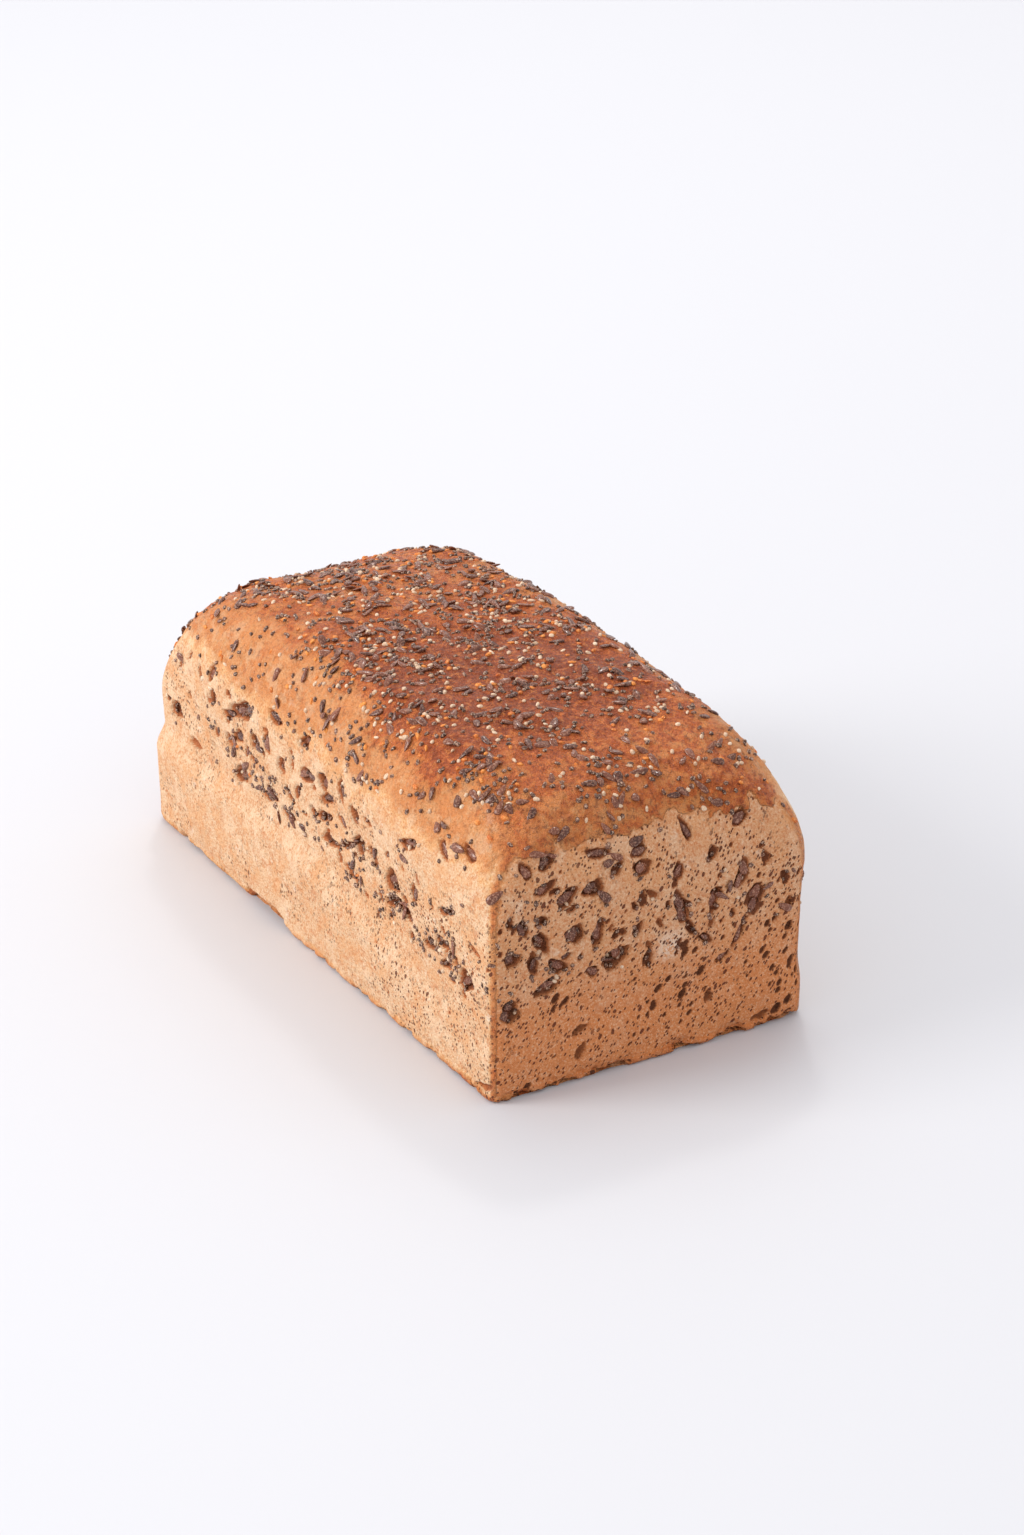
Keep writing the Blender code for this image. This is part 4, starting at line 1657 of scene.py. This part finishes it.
@dataclass
class Sowing:
    """Places seeds on the skin: thick on the top, few on the walls, and in the walls' holes."""

    ground: Ground
    form: LoafForm
    holes: list[tuple[Face, CrumbHole]]
    rng: np.random.Generator = field(default_factory=lambda: np.random.default_rng(2024))
    clumps: Noise = Noise(83, 9.0 * MM)
    small_clumps: Noise = Noise(89, 3.2 * MM)
    rim_thinning: Ramp = Ramp(2.0 * MM, 16.0 * MM, 0.50, 1.0)
    near_thinning: Ramp = Ramp(35.0 * MM, 80.0 * MM, 1.0, 0.50)
    far_thinning: Ramp = Ramp(20.0 * MM, 70.0 * MM, 1.0, 0.70)
    right_thinning: Ramp = Ramp(20.0 * MM, 45.0 * MM, 1.0, 0.50)
    top_clumps: Ramp = Ramp(0.35, 0.75, 0.35, 1.55)
    top_small_clumps: Ramp = Ramp(0.42, 0.70, 0.30, 1.70)
    browned: Ramp = Ramp(0.08, 0.30)
    above_walls: Ramp = Ramp(52.0 * MM, 62.0 * MM)
    above_foot: Ramp = Ramp(26.0 * MM, 36.0 * MM)
    band_middle: float = 39.0 * MM
    band_slope: float = -0.06
    band_drift: float = 12.0 * MM
    band_width: Ramp = Ramp(3.0 * MM, 9.0 * MM, 4.0, 0.0)
    band_clumps: Ramp = Ramp(0.45, 0.62)
    band_start: Ramp = Ramp(-75.0 * MM, -40.0 * MM)
    on_side_wall: Ramp = Ramp(0.6, 0.9)
    stray_share: float = 0.04
    beside_holes: float = 0.4
    out_of_holes: Ramp = Ramp(0.2, 0.6, 1.0, 0.0)
    off_crust: Ramp = Ramp(0.12, 0.36, 1.0, 0.0)
    in_hole_from: float = 0.8
    gap: float = 0.62
    hole_gap: float = 0.6
    draws_each: int = 4
    nearest_tried: int = 40
    sizes: Span = (0.65, 1.4)
    fit_length: Span = (0.6, 1.25)
    fit_width: Span = (0.55, 1.4)
    fit_thickness: Span = (0.85, 1.15)
    length_filled: float = 0.90
    width_filled: float = 0.86
    pair_spacing: float = 0.45
    pair_shrink: float = 0.5
    swing: float = 0.12
    wall_sink: float = 0.12
    flax_stand: float = 0.42
    hole_stand: float = 0.40
    map_gap: float = 0.06
    least_height: float = 0.2 * MM
    most_seeds: int = 8000
    filled: int = 0

    def __post_init__(self) -> None:
        """Makes room for the seeds' centres and reaches, and sorts the ground by its holes."""
        self.centres = np.zeros((self.most_seeds, 3))
        self.reaches = np.zeros(self.most_seeds)
        inside = np.nonzero((self.ground.hole >= 0) & (self.ground.hole_tone_and_shade > self.in_hole_from))[0]
        self.by_hole = inside[np.argsort(self.ground.hole[inside], kind="stable")]
        self.hole_starts = np.searchsorted(self.ground.hole[self.by_hole], np.arange(len(self.holes) + 1))

    def top_weight(self) -> Array:
        """Seed density over the crust: fullest in the middle, thinning outwards, in clumps.

        Returns:
            The chance of each ground place.
        """
        x, y, z = self.ground.points.T
        inward = np.minimum(self.form.length / 2 - np.abs(x), self.form.width / 2 - np.abs(y))
        middle = self.rim_thinning.of(inward) * self.near_thinning.of(x)
        middle = middle * self.far_thinning.of(-x) * self.right_thinning.of(y)
        clumped = self.top_clumps.of(self.clumps.at(self.ground.points))
        close = self.top_small_clumps.of(self.small_clumps.at(self.ground.points))
        risen = self.browned.of(self.ground.bake) * self.above_walls.of(z)
        return middle * clumped * close * risen * self.ground.area

    def wall_weight(self) -> Array:
        """Stray seeds on the walls: near the holes, and thick in a slanting band on the side walls.

        Returns:
            The chance of each ground place.
        """
        x, _, z = self.ground.points.T
        wander = (self.clumps.at(self.ground.points) - 0.5) * self.band_drift
        off = np.abs(z - self.band_middle - self.band_slope * x + wander)
        band = self.band_width.of(off) * self.on_side_wall.of(np.abs(self.ground.normals[:, 1]))
        band = band * self.band_clumps.of(self.small_clumps.at(self.ground.points)) * self.band_start.of(x)
        near = self.stray_share + self.beside_holes * self.ground.around + band
        near = near * self.above_foot.of(z) * self.out_of_holes.of(self.ground.hole_tone_and_shade)
        return near * self.off_crust.of(self.ground.bake) * self.ground.area

    def claim(self, candidates: Array, count: int, reach: float) -> list[int]:
        """Takes up to count of the candidates, in turn, that lie clear of every seed so far.

        Args:
            candidates: numbers of ground places, in the order that they are tried.
            count: how many are wanted.
            reach: half the new seeds' mean size.

        Returns:
            The numbers that were taken.
        """
        chosen: list[int] = []
        for index in candidates:
            if len(chosen) == count:
                break
            point = self.ground.points[index]
            apart = np.linalg.norm(self.centres[: self.filled] - point, axis=1)
            if (apart > (self.reaches[: self.filled] + reach) * self.gap).all():
                self.centres[self.filled] = point
                self.reaches[self.filled] = reach
                self.filled += 1
                chosen.append(int(index))
        return chosen

    def strew(self, kind: SeedKind, candidates: Array, count: int, stand: float) -> list[Lying]:
        """Seeds at the first clear candidates, each turned and sized at random.

        Args:
            kind: the seed.
            candidates: numbers of ground places, in the order that they are tried.
            count: how many are wanted.
            stand: how far they stand out, in thicknesses.

        Returns:
            The seeds.
        """
        seeds = []
        for index in self.claim(candidates, count, kind.reach):
            scale = self.rng.normal(1.0, kind.size_spread, 3).clip(*self.sizes)
            seeds.append(Lying(index, self.rng.normal(0.0, 1.0, 3), scale, stand))
        return seeds

    def scatter(self, kind: SeedKind, weight: Array, count: int, stand: float) -> list[Lying]:
        """Seeds at places drawn by weight.

        Args:
            kind: the seed.
            weight: the chance of each ground place.
            count: how many are wanted.
            stand: how far they stand out, in thicknesses.

        Returns:
            The seeds.
        """
        drawn = self.rng.choice(len(weight), size=count * self.draws_each, p=weight / weight.sum())
        return self.strew(kind, drawn, count, stand)

    def lay_flax(self, kind: SeedKind, hole: CrumbHole, long: Array, members: Array) -> list[Lying]:
        """Flax seeds laid along their hole, one behind another, and sized to fit it.

        Args:
            kind: the seed.
            hole: the hole.
            long: its long direction.
            members: numbers of its ground places.

        Returns:
            The seeds.
        """
        seeds = []
        count = hole.holds(kind.coat)
        middle = self.ground.points[members].mean(axis=0)
        for turn in range(count):
            aside = (turn - (count - 1) / 2) * self.pair_spacing * hole.tall * MM
            away = np.linalg.norm(self.ground.points[members] - middle - long * aside, axis=1)
            nearest = members[np.argsort(away)][: self.nearest_tried]
            for index in self.claim(nearest, 1, kind.reach * self.hole_gap):
                length = self.length_filled * hole.tall * MM / kind.length
                scale = np.array((
                    np.clip(length / (1.0 + self.pair_shrink * (count - 1)), *self.fit_length),
                    np.clip(self.width_filled * hole.wide * MM / kind.width, *self.fit_width),
                    self.rng.uniform(*self.fit_thickness),
                ))
                turned = long + self.rng.normal(0.0, self.swing, 3)
                seeds.append(Lying(index, turned, scale, self.flax_stand))
        return seeds

    def fill_holes(self, kind: SeedKind) -> list[Lying]:
        """The seeds of one kind that lie in the holes.

        Args:
            kind: the seed.

        Returns:
            The seeds.
        """
        seeds = []
        for number, (face, hole) in enumerate(self.holes):
            members = self.by_hole[self.hole_starts[number]: self.hole_starts[number + 1]]
            count = hole.holds(kind.coat)
            if count and len(members):
                if kind.coat is Coat.FLAX:
                    seeds += self.lay_flax(kind, hole, hole.long_way(face), members)
                else:
                    seeds += self.strew(kind, self.rng.permutation(members), count, self.hole_stand)
        return seeds

    def sow(self, kind: SeedKind) -> bpy.types.Object:
        """Every seed of one kind as one mesh.

        Args:
            kind: the seed.

        Returns:
            The piece.
        """
        seeds = self.fill_holes(kind)
        seeds += self.scatter(kind, self.top_weight(), kind.on_top, kind.stand)
        seeds += self.scatter(kind, self.wall_weight(), kind.on_walls, kind.stand - self.wall_sink)
        names = ("index", "long", "scale", "stand")
        chosen, long, scale, stand = (np.array([getattr(seed, name) for seed in seeds]) for name in names)
        count = len(seeds)
        normals = unit(self.ground.normals[chosen] + self.rng.normal(0.0, kind.tilt, (count, 3)))
        long = unit(long - normals * (long * normals).sum(-1, keepdims=True))
        side = np.cross(normals, long)
        frames = np.stack((long * scale[:, :1], side * scale[:, 1:2], normals * scale[:, 2:]), axis=-1)
        centres = self.ground.points[chosen] + normals * (stand * kind.thickness)[:, None]
        vertices, sizes, corners, places = kind.unit_mesh()
        shapes = np.repeat(vertices[None], count, axis=0)
        if kind.lumps:
            shapes = shapes * self.rng.uniform(1.0 - kind.lumps, 1.0 + kind.lumps, shapes.shape)
        placed = np.einsum("nij,nvj->nvi", frames, shapes) + centres[:, None]
        placed[..., 2] = np.maximum(placed[..., 2], self.least_height)
        offsets = (np.arange(count) * len(vertices))[:, None]
        faces = (corners[None] + offsets).ravel()
        obj = add_mesh(kind.coat.value, placed.reshape(-1, 3), np.tile(sizes, count), faces)
        side_count = math.ceil(math.sqrt(count))
        cell = np.stack((np.arange(count) % side_count, np.arange(count) // side_count), axis=-1)
        places = self.map_gap + places * (1.0 - 2.0 * self.map_gap)
        set_map(obj.data, ((cell[:, None] + places[None]) / side_count).reshape(-1, 2))
        set_values(obj.data, "shade", np.repeat(self.rng.uniform(0.0, 1.0, count), len(vertices)))
        obj.data.shade_smooth()
        obj.data.materials.append(kind.finish.make())
        return obj


SEED_KINDS = (
    SeedKind(
        Coat.FLAX, "flax_seed",
        SeedCoat("flax_coat", colour(58, 26, 17), colour(128, 74, 52), colour(212, 166, 138), 0.34, 0.16),
        length=4.6 * MM, width=2.35 * MM, thickness=1.0 * MM, on_top=380, on_walls=50,
        stand=0.28, tilt=0.24, point=0.38, sides=9, rings=6,
    ),
    SeedKind(
        Coat.DARK_CHIA, "chia_seed",
        SeedCoat(
            "dark_chia_coat", colour(54, 30, 20), colour(124, 82, 62), colour(222, 188, 160), 0.58, 0.24,
        ),
        length=1.8 * MM, width=1.3 * MM, thickness=1.1 * MM, on_top=1200, on_walls=480,
        stand=0.12, tilt=0.34,
    ),
    SeedKind(
        Coat.PALE_CHIA, "pale_seed",
        SeedCoat(
            "pale_chia_coat", colour(184, 144, 110), colour(226, 198, 168), colour(242, 222, 198), 0.5, 0.5,
        ),
        length=1.7 * MM, width=1.25 * MM, thickness=1.1 * MM, on_top=360, on_walls=80,
        stand=0.12, tilt=0.32,
    ),
    SeedKind(
        Coat.GRIT, "grain_grit",
        SeedCoat("grain_coat", colour(186, 84, 26), colour(226, 140, 58), colour(238, 186, 118), 0.4, 0.55),
        length=2.0 * MM, width=1.4 * MM, thickness=1.0 * MM, on_top=250, on_walls=8,
        stand=0.04, tilt=0.22, point=0.0, sides=6, size_spread=0.3, lumps=0.25,
    ),
)


# ---- studio ----------------------------------------------------------------------------


@dataclass(frozen=True)
class Softbox:
    """One square light, which shines from its place towards its aim."""

    name: str
    place: tuple[float, float, float]
    aim: tuple[float, float, float]
    size: float
    power: float
    tint: tuple[float, float, float]


@dataclass(frozen=True)
class Studio:
    """A pale table top, soft light from three sides and the camera."""

    image_height: int = 1535
    focal_pixels: float = 4200.0
    sensor: float = 36.0
    clip_end: float = 20.0
    elevation: float = 25.855
    azimuth: float = 59.884
    distance: float = 1225.3 * MM
    aim: tuple[float, float, float] = (0.0, 0.0, 40.0 * MM)
    slide_right: float = 12.96 * MM
    slide_up: float = 5.98 * MM
    floor_half: float = 3.0
    floor_tone: Colour = colour(209, 209, 213)
    floor_roughness: float = 0.55
    world_tint: Colour = (0.98, 0.98, 1.0, 1.0)
    world_strength: float = 1.0
    lights: tuple[Softbox, ...] = (
        Softbox("window_light", (-0.5, -1.5, 0.85), (0.0, 0.0, 0.04), 0.8, 21.0, (1.0, 0.985, 0.96)),
        Softbox("back_light", (-1.0, 0.6, 1.5), (-1.0, 0.65, 0.0), 1.2, 6.0, (1.0, 1.0, 1.0)),
        Softbox("glint_light", (-0.84, 0.48, 1.27), (0.0, 0.0, 0.06), 0.14, 2.4, (1.0, 0.98, 0.95)),
    )

    def axes(self) -> tuple[Vector, Vector, Vector]:
        """The camera's directions from its azimuth and elevation.

        Returns:
            Its right, up and backward directions.
        """
        turn, tilt = math.radians(self.azimuth), math.radians(self.elevation)
        right = Vector((math.cos(turn), math.sin(turn), 0.0))
        back = Vector((math.sin(turn) * math.cos(tilt), -math.cos(turn) * math.cos(tilt), math.sin(tilt)))
        return right, back.cross(right), back

    def add_camera(self) -> None:
        """Places the camera and makes it the scene's own."""
        right, up, back = self.axes()
        place = Vector(self.aim) + back * self.distance + right * self.slide_right + up * self.slide_up
        data = bpy.data.cameras.new("camera")
        data.sensor_fit = "AUTO"
        data.sensor_width = self.sensor
        data.lens = self.focal_pixels * self.sensor / self.image_height
        data.clip_end = self.clip_end
        camera = bpy.data.objects.new("camera", data)
        camera.matrix_world = Matrix.Translation(place) @ Matrix((right, up, back)).transposed().to_4x4()
        bpy.context.scene.collection.objects.link(camera)
        bpy.context.scene.camera = camera

    def add_floor(self) -> None:
        """A square table top of one face, plain and pale."""
        half = self.floor_half
        corners = np.array(((-half, -half, 0.0), (half, -half, 0.0), (half, half, 0.0), (-half, half, 0.0)))
        floor = add_mesh("table_top", corners, np.array((4,)), np.arange(4))
        paint = {"Base Color": self.floor_tone, "Roughness": self.floor_roughness}
        floor.data.materials.append(Graph("table_paint").finish(paint))

    def add_lights(self) -> None:
        """The softboxes, each turned to its aim, and the white room."""
        for light in self.lights:
            data = bpy.data.lights.new(light.name, "AREA")
            data.shape = "SQUARE"
            data.size = light.size
            data.energy = light.power
            data.color = light.tint
            lamp = bpy.data.objects.new(light.name, data)
            lamp.location = light.place
            shining = Vector(light.aim) - Vector(light.place)
            lamp.rotation_euler = shining.to_track_quat("-Z", "Y").to_euler()
            bpy.context.scene.collection.objects.link(lamp)
        world = bpy.data.worlds.new("white_room")
        world.use_nodes = True
        background = world.node_tree.nodes["Background"]
        background.inputs["Color"].default_value = self.world_tint
        background.inputs["Strength"].default_value = self.world_strength
        bpy.context.scene.world = world
        bpy.context.scene.view_settings.view_transform = "Standard"

    def build(self) -> None:
        """Camera, floor and lights."""
        self.add_camera()
        self.add_floor()
        self.add_lights()


def attach(piece: bpy.types.Object) -> None:
    """Rides a piece on the loaf's body, in the solid's stead, and reports it.

    Args:
        piece: the piece.
    """
    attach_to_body(piece, BODY)
    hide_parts(CAD_NODE)
    LOG.info("%s: %d faces", piece.name, len(piece.data.polygons))


def main() -> None:
    """Builds the studio, the loaf's skin and its seeds, in that order."""
    logging.basicConfig(level=logging.INFO, format="%(name)s: %(message)s")
    Studio().build()
    skin = LoafSkin()
    relief = Relief(skin.form)
    for piece in skin.build(relief):
        attach(piece)
    sowing = Sowing(Ground.of(skin.patches), skin.form, relief.numbered())
    for kind in SEED_KINDS:
        attach(sowing.sow(kind))


if __name__ == "__main__":
    main()
